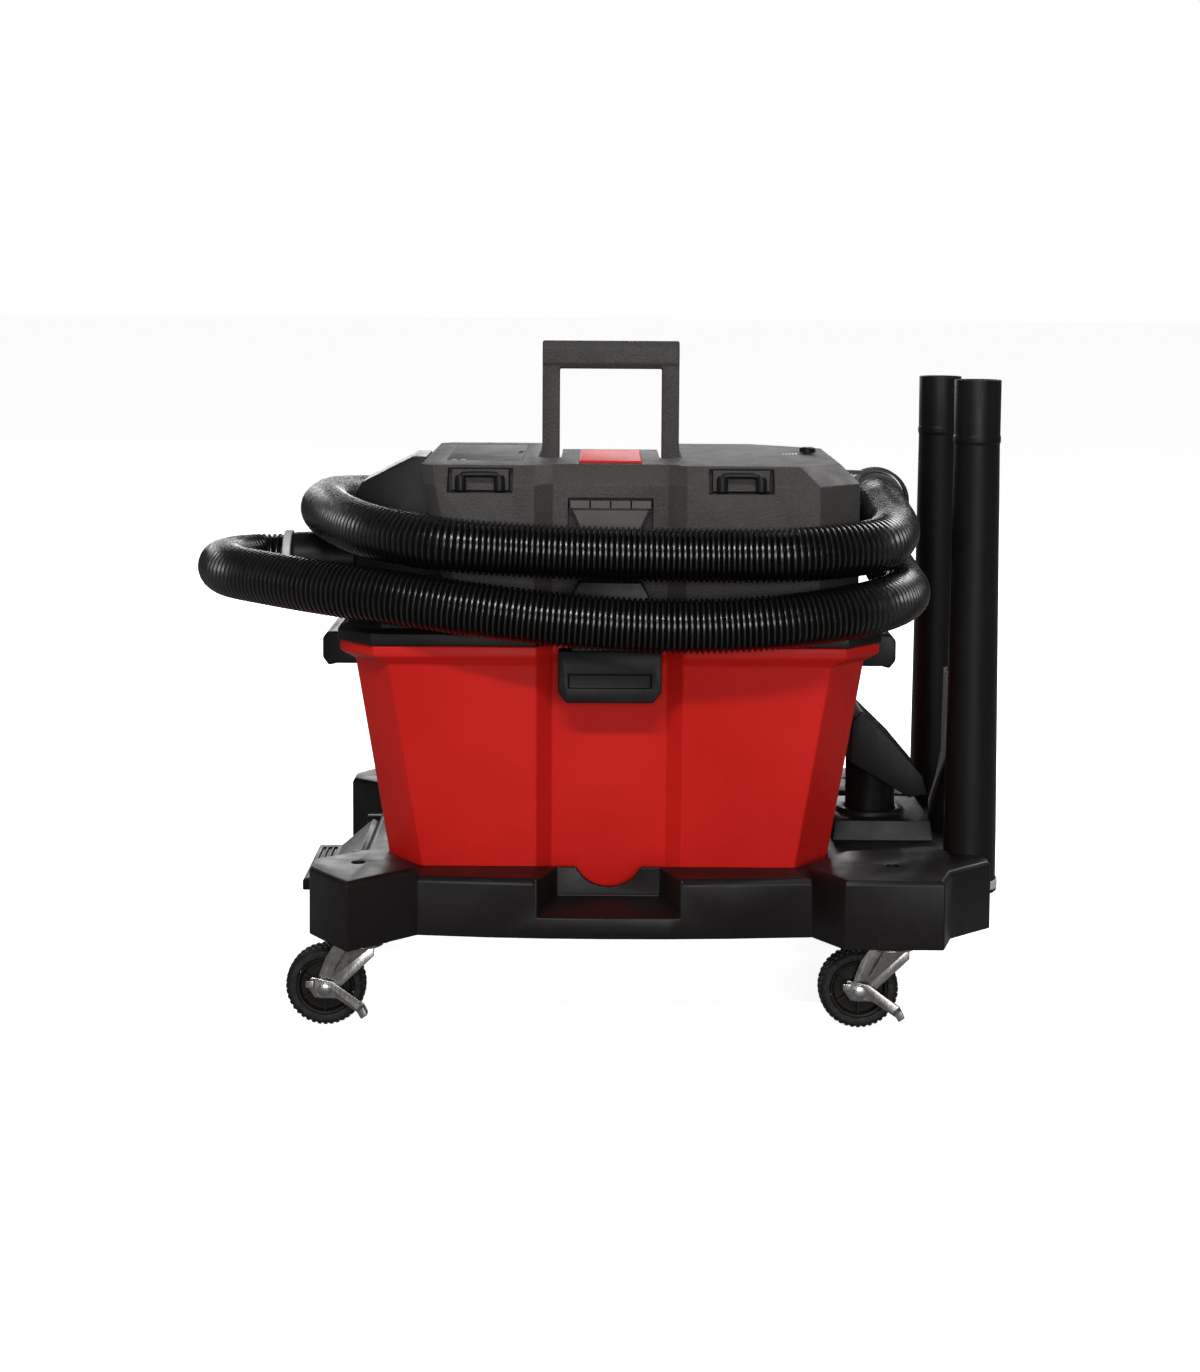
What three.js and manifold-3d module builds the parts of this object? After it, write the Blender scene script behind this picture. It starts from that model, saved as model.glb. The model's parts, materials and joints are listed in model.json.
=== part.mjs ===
// A battery shop vacuum on a four-caster tool cart. It has a tapered tank, a lid and motor head held by two
// latches, and a hose wound round the head. Two wands, a wide nozzle and a crevice tool stand on the cart.
// Millimetres, X to the right, Y to the back, Z up. While it is built, X = 0, Y = 0 is the tank's centre
// line and Z = 0 is the floor. The group then moves so that the origin is under the middle of the rigid parts.
import * as THREE from "three";
import { mergeVertices } from "three/addons/utils/BufferGeometryUtils.js";
import Module from "manifold-3d";

// ---- Driving dimensions -------------------------------------------------------------------------------

// Clearances and walls
const GAP = 0.3; // between pieces that touch or run on each other
const SHELL = 4; // wall of the moulded shells
const ROUND = 16; // sides of an ordinary round piece
const PIN_SIDES = 12; // sides of pins, shafts and the holes they run in
const PIN_R = 4; // every hinge pin

// Casters
const WHEEL_D = 76.4;
const WHEEL_R = WHEEL_D / 2;
const WHEEL_SIDES = 20;
const TYRE_WIDTH = 26;
const RIM_R = 27;
const AXLE_R = 4;
const HUB_R = 10;
const HUB_PROUD = 0.8; // how far the hub stands out past the tyre
const TRAIL = 31;
const KINGPIN_R = 5;
const FORK_GAP = TYRE_WIDTH / 2 + 2.5; // half the width between the fork's cheeks
const FORK_SHEET = 2.5;
const CROWN_BOTTOM = WHEEL_D + 1.2;
const CROWN_TOP = CROWN_BOTTOM + 2.4;
const RACE_BOTTOM = CROWN_TOP + GAP;

// Tank plan
const TOP_HALF_WIDTH = 246;
const TOP_HALF_DEPTH = 190;
const TAPER_X = 39; // how far each side comes in from top to bottom
const TAPER_Y = 21;
const BASE_HALF_WIDTH = TOP_HALF_WIDTH - TAPER_X;
const BASE_HALF_DEPTH = TOP_HALF_DEPTH - TAPER_Y;
const RIM_HALF_WIDTH = TOP_HALF_WIDTH + 14;
const RIM_HALF_DEPTH = TOP_HALF_DEPTH + 8;
const CORNER_X = 35;
const CORNER_Y = 40;
const CHANNEL_INNER = 55;
const CHANNEL_OUTER = CHANNEL_INNER + 15;
const CHANNEL_DEPTH = 18;

// Cart
const CART_BOTTOM = RACE_BOTTOM + 9.7;
const DECK_TOP = CART_BOTTOM + 57;
const DECK_EDGE = 5; // the slope along the deck's edge
const POD_TOP = DECK_TOP + 9;
const TRAY_FLOOR = CART_BOTTOM + 10;
const TRAY_PLAY = 1; // between the tank and its tray
const SKIRT_FRONT = BASE_HALF_DEPTH + 60;
const SKIRT_BOW = 11;
const BOW_HALF = BASE_HALF_WIDTH - 17;
const CART_LEFT = -BASE_HALF_WIDTH - 34;
const CART_RIGHT = BASE_HALF_WIDTH + 161;
const KINGPIN_LEFT = CART_LEFT + 2.5;
const KINGPIN_RIGHT = CART_RIGHT - 97.6;
const KINGPIN_Y = BASE_HALF_DEPTH + 31;
const BOSS_R = 17;
const STEP_HALF_FRONT = 68;
const STEP_HALF_BACK = 50;
const STEP_DEPTH_Z = 37;
const STEP_RISE = 9;
const NOTCH_WIDTH = 62;
const NOTCH_DEPTH = 19.5;

// Release pedal
const PEDAL_OUT = CART_LEFT - 67;
const PEDAL_HALF = 73;
const PEDAL_THICK = 12;
const PEDAL_PIN_X = CART_LEFT - 8;
const PEDAL_PIN_Z = DECK_TOP - 18;
const PEDAL_PIN_HALF = PEDAL_HALF + 13;

// Tank heights
const TANK_HEIGHT = 245;
const TANK_BODY_TOP = TRAY_FLOOR + TANK_HEIGHT;
const RIM_BOTTOM = TANK_BODY_TOP + 9;
const RIM_TOP = RIM_BOTTOM + 10;
const HANDLE_OUT = RIM_HALF_WIDTH + 26;
const HANDLE_HALF = 80;
const HANDLE_BRACKET = 14;

// Lid
const LID_TOP = RIM_TOP + 36;
const LID_HALF_WIDTH = RIM_HALF_WIDTH - 10;
const LID_HALF_DEPTH = RIM_HALF_DEPTH - 12;
const FLANGE_TOP = RIM_TOP + 12;
const GASKET_OUT = 3; // from the rim's edge to the gasket
const GASKET_WIDTH = 6;
const GASKET_HEIGHT = 3.3;
const FAN_R = 60;
const FAN_SIDES = 20;
const FAN_FLOOR = RIM_TOP + 12;
const SUCTION_R = 40;

// Head
const HEAD_HEIGHT = 133.6;
const HEAD_TOP = LID_TOP + HEAD_HEIGHT;
const HEAD_BEVEL = 18;
const HEAD_LEFT = -LID_HALF_WIDTH + 67;
const HEAD_LEAN = 26; // how far the left wall comes in from top to bottom
const HEAD_RIGHT = LID_HALF_WIDTH - 8;
const HEAD_HALF_DEPTH = LID_HALF_DEPTH - 11;
const CHANNEL_FACE = -HEAD_HALF_DEPTH + CHANNEL_DEPTH; // the head's wall in the front channel
const INLET_Z = LID_TOP + 23;
const INLET_Y = 7;
const INLET_R = 22;
const HOUSING_LEFT = -LID_HALF_WIDTH - 5;
const HOUSING_FRONT = -53;
const HOUSING_BACK = 34;
const INLET_DUCT_X = HOUSING_LEFT + 50;
const PORT_DEPTH = 5; // how far the inlet's collar stands out of the housing
const LOOP_X = LID_HALF_WIDTH / 2;
const LOOP_HALF = 24;
const LOOP_TOP = HEAD_TOP - 5.1;
const LOOP_BOTTOM = HEAD_TOP - 23.1;
const PADDLE_HALF = CHANNEL_INNER - 14;
const PADDLE_TOP = HEAD_TOP - 31.6;
const PADDLE_BOTTOM = PADDLE_TOP - 32;
const BADGE_HALF = 31;
const DIAL_X = HEAD_RIGHT - 39;
const DIAL_Y = 15;
const DIAL_R = 9;
const DIAL_STEM_R = 5.5;
const DIAL_HEIGHT = 7;

// Carry handle
const HANDLE_PIVOT_Y = -35;
const HANDLE_PIVOT_Z = HEAD_TOP - 13.6;
const HANDLE_TOP = HANDLE_PIVOT_Z + 130;
const HANDLE_HALF_WIDTH = 68.7;
const HANDLE_LEG = 17.4;
const LEG_HALF_THICK = 10;
const GRIP_HALF_THICK = 12;
const GRIP_HEIGHT = 28;
const TONGUE_HALF = HANDLE_HALF_WIDTH - HANDLE_LEG - 1.8; // the ledge between the handle's legs
const TONGUE_BACK = 65;
const HANDLE_WELL_FLOOR = HANDLE_PIVOT_Z - 15;
const HANDLE_WELL_HALF = HANDLE_HALF_WIDTH + 3.3;
const HANDLE_ROD_HALF = HANDLE_HALF_WIDTH + 6.3;

// Latches
const LATCH_OUT = RIM_HALF_DEPTH + 9;
const LATCH_THICK = 22.7;
const LATCH_IN = LATCH_OUT - LATCH_THICK;
const LATCH_HALF = CHANNEL_INNER - 6;
const LATCH_NECK_HALF = CHANNEL_INNER - 19;
const LATCH_PIN_Y = LATCH_OUT - 12;
const LATCH_PIN_Z = RIM_TOP + 24;
const LATCH_TOP = LATCH_PIN_Z + 39;
const LATCH_BOTTOM = RIM_TOP - 52;
const LUG_THICK = 7;

// Battery bay
const BAY_RIGHT = -HANDLE_WELL_HALF - 16;
const BAY_LEFT = BAY_RIGHT - 70;
const BAY_FRONT = -98;
const BAY_BACK = 118;
const BAY_WALL = 3;
const BAY_TOP = HEAD_TOP - 9;
const BAY_BOTTOM = HEAD_TOP - 97.6;
const DOOR_SHEET = 4.7;
const DOOR_LAP = 4; // the door's edge past the bay on the left

// Filter
const CAGE_BOTTOM = RIM_TOP - 102;
const CAGE_R = 46;
const CARTRIDGE_R = 84;
const PLEATS = 20;
const PLEAT_DEPTH = 10;
const STUD_R = 6;

// Hose and its fittings
const HOSE_D = 51.5;
const CUFF_R = HOSE_D / 2 + 2.25;
const CUFF_RING_R = CUFF_R + 2;
const TOOL_RING_R = HOSE_D / 2 + 5.25;
const TOOL_CUFF_X = HEAD_RIGHT + 34;
const TOOL_CUFF_Z = HEAD_TOP - 49.6;
const TOOL_NOSE_R = 27;
const STRAP_Y = 36;
const STRAP_HALF = 10;
const STRAP_THICK = 4;

// Tools on the cart
const WAND_X = CART_RIGHT - 13;
const WAND_Y = 129;
const TOOL_FLOOR = DECK_TOP - 32;
const WAND_RING_R = 27;
const WAND_R = 22;
const WAND_FRONT_LENGTH = 502;
const WAND_REAR_LENGTH = 495;
const CREVICE_LENGTH = 197;
const CREVICE_R = 23;
const CUP_PLAY = 1;
const CUP_WALL = 5;
const BLOCK_TOP = DECK_TOP + 20;
const NOZZLE_X = CART_RIGHT - 98;
const NOZZLE_Y = -10;
const NOZZLE_NECK_R = 25.5;
const NOZZLE_FOOT = BLOCK_TOP - 31;
const NOZZLE_MOUTH_HALF = 45;
const NOZZLE_WALL = 3;

// The hose's centre line, from the inlet cuff round the head to the tool cuff.
const HOSE_ROUTE = [
  [-334.5, 7, 423],
  [-346, 7, 423],
  [-362, 2, 423],
  [-380, -19, 423.5],
  [-387, -60, 424],
  [-372, -105, 423],
  [-332, -143, 421],
  [-270, -184, 417],
  [-201, -213, 412],
  [-120, -230, 403],
  [-49, -237, 396],
  [30, -239, 391],
  [100, -238, 391],
  [176, -231, 396],
  [247, -201, 404],
  [284, -138, 408],
  [289, -63, 411],
  [290, 10, 416],
  [287, 80, 421],
  [262, 145, 429],
  [213, 193, 439],
  [140, 211, 449],
  [40, 210, 458],
  [-60, 209, 461],
  [-150, 208, 464],
  [-225, 177, 469],
  [-269, 115, 475],
  [-287, 40, 480],
  [-287, -35, 479],
  [-264, -108, 475],
  [-222, -172, 469],
  [-163, -206, 463],
  [-80, -206, 457],
  [10, -206, 454],
  [100, -206, 453],
  [182, -208, 455],
  [252, -177, 460],
  [277, -116, 467],
  [278, -63, 475],
  [276.3, -25, 482],
  [276, -3, 484],
  [276, 17, 484],
];

// ---- Solids -------------------------------------------------------------------------------------------

const wasm = await Module();
wasm.setup();

// A closed geometry as a solid with its faces pointing out.
function solidOf(geometry) {
  const bare = geometry.index ? geometry.toNonIndexed() : geometry.clone();
  bare.deleteAttribute("normal");
  bare.deleteAttribute("uv");
  const merged = mergeVertices(bare, 1e-4);
  const vertProperties = merged.attributes.position.array;
  const triVerts = new Uint32Array(merged.index.array);
  const made = new wasm.Manifold(new wasm.Mesh({ numProp: 3, vertProperties, triVerts }));
  if (made.volume() > 0) return made;
  const turned = triVerts.map((v, i) => triVerts[i - (i % 3) + ((3 - (i % 3)) % 3)]);
  return new wasm.Manifold(new wasm.Mesh({ numProp: 3, vertProperties, triVerts: turned }));
}

function joined(...solids) {
  return solids.reduce((whole, next) => whole.add(next));
}

function cut(solid, ...tools) {
  return tools.reduce((left, tool) => left.subtract(tool), solid);
}

function box(x0, x1, y0, y1, z0, z1) {
  const geometry = new THREE.BoxGeometry(x1 - x0, y1 - y0, z1 - z0);
  return solidOf(geometry.translate((x0 + x1) / 2, (y0 + y1) / 2, (z0 + z1) / 2));
}

// Turns a geometry whose own axis is Y so that it lies along the named axis.
function along(geometry, axis) {
  if (axis === "z") geometry.rotateX(Math.PI / 2);
  if (axis === "x") geometry.rotateZ(-Math.PI / 2);
  return geometry;
}

// A round bar or cone along an axis, from its start point, with its length and its radii at both ends.
function bar(axis, [x, y, z], length, radius, endRadius = radius, sides = ROUND) {
  const geometry = new THREE.CylinderGeometry(endRadius, radius, length, sides).translate(0, length / 2, 0);
  return solidOf(along(geometry, axis).translate(x, y, z));
}

// A hinge pin, and the bore that it runs in.
function pin(axis, start, length) {
  return bar(axis, start, length, PIN_R, PIN_R, PIN_SIDES);
}

function pinBore(axis, start, length) {
  return bar(axis, start, length, PIN_R + GAP, PIN_R + GAP, PIN_SIDES);
}

// A turned piece on a vertical axis. The profile lists radius and height.
function turned(profile, x = 0, y = 0, sides = ROUND) {
  const points = profile.map(([r, z]) => new THREE.Vector2(r, z));
  return solidOf(along(new THREE.LatheGeometry(points, sides), "z").translate(x, y, 0));
}

// An upright prism on an outline of [x, y] points.
function prism(outline, z0, z1) {
  return loft([
    [z0, outline],
    [z1, outline],
  ]);
}

// A prism across the object: its outline lists [x, z] points, and it runs from y0 to y1.
function prismAlongY(outline, y0, y1) {
  const geometry = new THREE.ExtrudeGeometry(shapeOf(outline), { depth: y1 - y0, bevelEnabled: false });
  return solidOf(geometry.rotateX(Math.PI / 2).translate(0, y1, 0));
}

// A prism from left to right: its outline lists [y, z] points, and it runs from x0 to x1.
function prismAlongX(outline, x0, x1) {
  const geometry = new THREE.ExtrudeGeometry(shapeOf(outline), { depth: x1 - x0, bevelEnabled: false });
  return solidOf(geometry.rotateX(Math.PI / 2).rotateZ(Math.PI / 2).translate(x0, 0, 0));
}

function shapeOf(outline) {
  return new THREE.Shape(outline.map(([a, b]) => new THREE.Vector2(a, b)));
}

// A solid through outlines at rising heights, which all have the same number of points.
function loft(levels) {
  const count = levels[0][1].length;
  const positions = levels.flatMap(([z, outline]) => outline.flatMap(([x, y]) => [x, y, z]));
  const index = [];
  for (let level = 0; level + 1 < levels.length; level++) {
    for (let i = 0; i < count; i++) {
      const a = level * count + i;
      const b = level * count + ((i + 1) % count);
      index.push(a, b, b + count, a, b + count, a + count);
    }
  }
  const ends = [0, levels.length - 1];
  for (const level of ends) {
    const flat = levels[level][1].map(([x, y]) => new THREE.Vector2(x, y));
    for (const [a, b, c] of THREE.ShapeUtils.triangulateShape(flat, [])) {
      const corners = level === 0 ? [c, b, a] : [a, b, c];
      index.push(...corners.map((corner) => corner + level * count));
    }
  }
  const geometry = new THREE.BufferGeometry();
  geometry.setAttribute("position", new THREE.Float32BufferAttribute(positions, 3));
  geometry.setIndex(index);
  return solidOf(geometry);
}

// A section of [a, b] points swept along a smooth curve through the given points.
function swept(points, section, steps) {
  const curve = new THREE.CatmullRomCurve3(points.map((p) => new THREE.Vector3(...p)));
  const options = { steps, extrudePath: curve, bevelEnabled: false };
  return solidOf(new THREE.ExtrudeGeometry(shapeOf(section), options));
}

function regular(sides, radius) {
  return Array.from({ length: sides }, (_, i) => {
    const angle = ((i + 0.5) * 2 * Math.PI) / sides;
    return [radius * Math.cos(angle), radius * Math.sin(angle)];
  });
}

function rectangle(x0, x1, y0, y1) {
  return [
    [x0, y0],
    [x1, y0],
    [x1, y1],
    [x0, y1],
  ];
}

// The outline and its mirror image in Y = 0. The half runs from left to right along the front.
function mirrored(half) {
  return [...half, ...half.map(([x, y]) => [x, -y]).reverse()];
}

// An outline moved in by a distance, with each corner where its two moved sides meet.
function inset(outline, distance) {
  return outline.map((point, i) => {
    const before = outline[(i + outline.length - 1) % outline.length];
    const after = outline[(i + 1) % outline.length];
    const first = new THREE.Vector2(point[0] - before[0], point[1] - before[1]).normalize();
    const second = new THREE.Vector2(after[0] - point[0], after[1] - point[1]).normalize();
    const scale = distance / (1 + first.dot(second));
    return [point[0] - (first.y + second.y) * scale, point[1] + (first.x + second.x) * scale];
  });
}

const PAINTS = {
  red: { color: 0xc82a26, roughness: 0.38, metalness: 0 },
  cart: { color: 0x231f1e, roughness: 0.6, metalness: 0 },
  head: { color: 0x5f5b5a, roughness: 0.7, metalness: 0 },
  trim: { color: 0x1c1a19, roughness: 0.5, metalness: 0 },
  hose: { color: 0x141110, roughness: 0.3, metalness: 0 },
  ring: { color: 0xb9b9b7, roughness: 0.5, metalness: 0 },
  rubber: { color: 0x151413, roughness: 0.8, metalness: 0 },
  zinc: { color: 0xb4b6b8, roughness: 0.35, metalness: 0.9 },
  steel: { color: 0x9a9c9f, roughness: 0.3, metalness: 1 },
  paper: { color: 0xd8d2c2, roughness: 0.9, metalness: 0 },
};

function materialOf(paint) {
  return new THREE.MeshStandardMaterial(PAINTS[paint]);
}

// A named mesh of a finished solid.
function piece(name, paint, solid) {
  const data = solid.getMesh();
  const geometry = new THREE.BufferGeometry();
  geometry.setAttribute("position", new THREE.Float32BufferAttribute(data.vertProperties, 3));
  geometry.setIndex(new THREE.BufferAttribute(data.triVerts, 1));
  geometry.computeVertexNormals();
  const mesh = new THREE.Mesh(geometry, materialOf(paint));
  mesh.name = name;
  return mesh;
}

// ---- Casters ------------------------------------------------------------------------------------------

function casterPlate() {
  const plate = box(-32, 32, -26, 26, CART_BOTTOM - 3, CART_BOTTOM - GAP);
  const race = bar("z", [0, 0, RACE_BOTTOM], CART_BOTTOM - 2 - RACE_BOTTOM, 21, 25);
  const kingpin = bar("z", [0, 0, CROWN_BOTTOM - 0.2], 6, KINGPIN_R, KINGPIN_R, PIN_SIDES);
  return joined(plate, race, kingpin);
}

function casterFork() {
  const cheek = [
    [-TRAIL - 11, WHEEL_R - 3],
    [-TRAIL - 5, WHEEL_R - 10],
    [-TRAIL + 5, WHEEL_R - 10],
    [-TRAIL + 12, WHEEL_R - 2],
    [16, CROWN_BOTTOM - 8],
    [16, CROWN_TOP],
    [-22, CROWN_TOP],
    [-30, CROWN_BOTTOM - 9.6],
  ];
  const outer = FORK_GAP + FORK_SHEET;
  const cheeks = [-outer, FORK_GAP].map((y) => prismAlongY(cheek, y, y + FORK_SHEET));
  const crown = prism(regular(12, 22), CROWN_BOTTOM, CROWN_TOP);
  const kingpinHole = bar("z", [0, 0, CROWN_BOTTOM - 1], 9, KINGPIN_R + GAP, KINGPIN_R + GAP, PIN_SIDES);
  const axleR = AXLE_R + GAP;
  const axleHole = bar("y", [-TRAIL, -outer - 1, WHEEL_R], 2 * outer + 2, axleR, axleR, PIN_SIDES);
  return cut(joined(crown, ...cheeks), kingpinHole, axleHole);
}

// A ring turned about the wheel's own axis, which lies along Y. The profile lists radius and place on it.
function wheelRing(profile, sides) {
  const points = [...profile, profile[0]].map(([r, y]) => new THREE.Vector2(r, y));
  return solidOf(new THREE.LatheGeometry(points, sides, Math.PI / sides));
}

function casterWheel() {
  const half = TYRE_WIDTH / 2;
  const bore = AXLE_R + GAP;
  const profile = [
    [bore, -half - HUB_PROUD],
    [HUB_R, -half - HUB_PROUD],
    [HUB_R + 2, -half + 6],
    [RIM_R, -half + 1],
    [RIM_R, half - 1],
    [HUB_R + 2, half - 6],
    [HUB_R, half + HUB_PROUD],
    [bore, half + HUB_PROUD],
  ];
  return wheelRing(profile, WHEEL_SIDES);
}

// The tyre is a polygon round the true circle, so that it stands on a flat.
function casterTyre() {
  const half = TYRE_WIDTH / 2;
  const round = 1 / Math.cos(Math.PI / WHEEL_SIDES);
  const tread = WHEEL_R * round;
  const inner = (RIM_R + GAP) * round;
  const profile = [
    [inner, -half],
    [tread - 3.5, -half],
    [tread, -half + 5],
    [tread, half - 5],
    [tread - 3.5, half],
    [inner, half],
  ];
  return wheelRing(profile, WHEEL_SIDES);
}

function casterAxle(front) {
  const outer = FORK_GAP + FORK_SHEET + 3;
  const near = front ? outer + 4 : outer;
  return bar("y", [0, -near, 0], near + outer, AXLE_R, AXLE_R, PIN_SIDES);
}

// The bent side brake of a front caster, on the axle's front end.
function brakeLever() {
  const near = FORK_GAP + FORK_SHEET + 1;
  const blade = [
    [-17, 4],
    [-12, 12],
    [-3, 10],
    [9, 7],
    [38, -14],
    [40, -23],
    [34, -24],
    [12, -9],
    [-9, -8],
  ];
  const plate = prismAlongY(blade, -near - 2.5, -near);
  const pressTab = prismAlongY(
    [
      [32, -19],
      [38, -14],
      [42, -22],
      [36, -26],
    ],
    -near - 12,
    -near,
  );
  const liftTab = box(-17, -9, -near - 9, -near, 3, 10);
  const hole = bar("y", [0, -near - 4, 0], 6, AXLE_R + GAP, AXLE_R + GAP, PIN_SIDES);
  return cut(joined(plate, pressTab, liftTab), hole);
}

function addCaster(cart, label, x, y) {
  const caster = new THREE.Group();
  caster.position.set(x, y, 0);
  caster.add(piece("caster_plate_" + label, "zinc", casterPlate()));
  caster.add(piece("caster_fork_" + label, "zinc", casterFork()));
  const wheel = new THREE.Group();
  wheel.position.set(-TRAIL, 0, WHEEL_R);
  wheel.add(piece("caster_wheel_" + label, "trim", casterWheel()));
  wheel.add(piece("caster_tyre_" + label, "rubber", casterTyre()));
  wheel.add(piece("caster_axle_" + label, "steel", casterAxle(y < 0)));
  if (y < 0) wheel.add(piece("brake_lever_" + label, "zinc", brakeLever()));
  caster.add(wheel);
  cart.add(caster);
}

// ---- Tank ---------------------------------------------------------------------------------------------

// The tank's plan at one height: chamfered corners, and a channel down the middle of the front and back.
function tankOutline(halfWidth, halfDepth, grow = 0, channel = true) {
  const w = halfWidth + grow;
  const d = halfDepth + grow;
  const cornerX = halfWidth - CORNER_X + 0.4 * grow;
  const cornerY = halfDepth - CORNER_Y + 0.4 * grow;
  const mouth = CHANNEL_OUTER - 0.47 * grow;
  const floor = CHANNEL_INNER - 0.47 * grow;
  const depth = channel ? CHANNEL_DEPTH : 0;
  return mirrored([
    [-w, -cornerY],
    [-cornerX, -d],
    [-mouth, -d],
    [-floor, -d + depth],
    [floor, -d + depth],
    [mouth, -d],
    [cornerX, -d],
    [w, -cornerY],
  ]);
}

// The tank's half width and half depth at a height on its tapered body.
function tankHalves(z) {
  const share = (z - TRAY_FLOOR) / (TANK_BODY_TOP - TRAY_FLOOR);
  const width = BASE_HALF_WIDTH + share * (TOP_HALF_WIDTH - BASE_HALF_WIDTH);
  const depth = BASE_HALF_DEPTH + share * (TOP_HALF_DEPTH - BASE_HALF_DEPTH);
  return [width, depth];
}

function tankBody(grow, bottom, top, channel = true) {
  return loft([
    [bottom, tankOutline(...tankHalves(bottom), grow, channel)],
    [top, tankOutline(...tankHalves(top), grow, channel)],
  ]);
}

function tankOuter(grow, bottom) {
  return loft([
    [bottom, tankOutline(...tankHalves(bottom), grow)],
    [TANK_BODY_TOP - grow, tankOutline(TOP_HALF_WIDTH, TOP_HALF_DEPTH, grow)],
    [RIM_BOTTOM - grow, tankOutline(RIM_HALF_WIDTH, RIM_HALF_DEPTH, grow)],
    [RIM_TOP + grow, tankOutline(RIM_HALF_WIDTH, RIM_HALF_DEPTH, grow)],
  ]);
}

function tank() {
  const bottom = TRAY_FLOOR + GAP;
  return cut(tankOuter(0, bottom), tankBody(-SHELL, bottom + SHELL, RIM_TOP + 10));
}

// A moulded side handle under the rim, with a finger gap behind its bar. side is -1 on the left, else 1.
function tankHandle(side) {
  const bottom = RIM_BOTTOM - 28;
  const top = RIM_BOTTOM + 6;
  const barIn = HANDLE_OUT - 14;
  const section = [
    [barIn, bottom + 2],
    [HANDLE_OUT - 6, bottom],
    [HANDLE_OUT, bottom + 8],
    [HANDLE_OUT, top - 6],
    [HANDLE_OUT - 5, top],
    [barIn, top],
  ].map(([x, z]) => [side * x, z]);
  const grip = prismAlongY(section, -HANDLE_HALF, HANDLE_HALF);
  const bracketX = [TOP_HALF_WIDTH - 6, barIn + 2].map((x) => side * x).sort((a, b) => a - b);
  const brackets = [-HANDLE_HALF, HANDLE_HALF - HANDLE_BRACKET].map((y) =>
    box(...bracketX, y, y + HANDLE_BRACKET, bottom + 2, top),
  );
  return cut(joined(grip, ...brackets), tankOuter(GAP, TRAY_FLOOR));
}

// ---- Cart ---------------------------------------------------------------------------------------------

// The raised plates over the front casters: each corner's place from the cart's side and from the kingpin.
const LEFT_POD = [
  [CART_LEFT + 15, 60 - KINGPIN_Y],
  [CART_LEFT, 50 - KINGPIN_Y],
  [CART_LEFT - 43, 15 - KINGPIN_Y],
  [CART_LEFT - 43, -15 - KINGPIN_Y],
  [CART_LEFT - 27, -39 - KINGPIN_Y],
  [CART_LEFT - 1, -78 - KINGPIN_Y],
  [CART_LEFT + 60, SKIRT_BOW - SKIRT_FRONT],
  [CART_LEFT + 55, 6 - KINGPIN_Y],
];
const RIGHT_POD = [
  [CART_RIGHT - 178, 6 - KINGPIN_Y],
  [CART_RIGHT - 175, SKIRT_BOW - SKIRT_FRONT],
  [CART_RIGHT - 148, -60 - KINGPIN_Y],
  [CART_RIGHT - 55, -60 - KINGPIN_Y],
  [CART_RIGHT - 43, -20 - KINGPIN_Y],
  [CART_RIGHT, 19 - KINGPIN_Y],
  [CART_RIGHT, 34 - KINGPIN_Y],
  [CART_RIGHT - 50, 82 - KINGPIN_Y],
  [CART_RIGHT - 136, 60 - KINGPIN_Y],
];

function frontBow() {
  const share = [-0.6, -0.3, 0, 0.3, 0.6];
  return share.map((s) => [s * BOW_HALF, -SKIRT_FRONT + SKIRT_BOW * s * s]);
}

function cartOutline() {
  const half = [...LEFT_POD.slice(1, 7), ...frontBow(), ...RIGHT_POD.slice(1, 6)];
  return mirrored(half);
}

function flippedY(outline) {
  return outline.map(([x, y]) => [x, -y]).reverse();
}

// The moulded step in the middle of the front edge. grow is the wall round it.
function stepCut(grow) {
  const front = -SKIRT_FRONT - 10;
  const back = -BASE_HALF_DEPTH - 9.5 + grow;
  const floor = DECK_TOP - STEP_DEPTH_Z - grow;
  const slope = [
    [front, floor],
    [-SKIRT_FRONT, floor],
    [back, floor + STEP_RISE],
    [back, DECK_TOP + 20],
    [front, DECK_TOP + 20],
  ];
  const across = STEP_HALF_FRONT + grow;
  const plan = [
    [-across, front],
    [across, front],
    [across, -SKIRT_FRONT],
    [STEP_HALF_BACK + grow, back],
    [-STEP_HALF_BACK - grow, back],
    [-across, -SKIRT_FRONT],
  ];
  return prismAlongX(slope, -across, across).intersect(prism(plan, CART_BOTTOM - 5, DECK_TOP + 20));
}

// Where a stored tool stands in a cup on the right edge.
function toolPlaces() {
  return [-WAND_Y, 0, WAND_Y].map((y) => [WAND_X, y]);
}

// The deck and its skirt, the four raised plates and the nozzle's block, hollow from below.
function cartShell(outline) {
  const deck = loft([
    [CART_BOTTOM, outline],
    [DECK_TOP - DECK_EDGE, outline],
    [DECK_TOP, inset(outline, DECK_EDGE)],
  ]);
  const pods = [LEFT_POD, flippedY(LEFT_POD), RIGHT_POD, flippedY(RIGHT_POD)].map((pod) =>
    loft([
      [CART_BOTTOM, pod],
      [POD_TOP - 4, pod],
      [POD_TOP, inset(pod, 3)],
    ]),
  );
  const block = loft([
    [DECK_TOP - 5, rectangle(NOZZLE_X - 44, NOZZLE_X + 60, -63, 63)],
    [BLOCK_TOP, rectangle(NOZZLE_X - 41, NOZZLE_X + 56, -59, 59)],
  ]);
  const hollow = prism(inset(outline, SHELL), CART_BOTTOM - 1, DECK_TOP - SHELL);
  return cut(joined(deck, ...pods, block), hollow);
}

function kingpins() {
  return [KINGPIN_LEFT, KINGPIN_RIGHT].flatMap((x) => [-KINGPIN_Y, KINGPIN_Y].map((y) => [x, y]));
}

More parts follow.
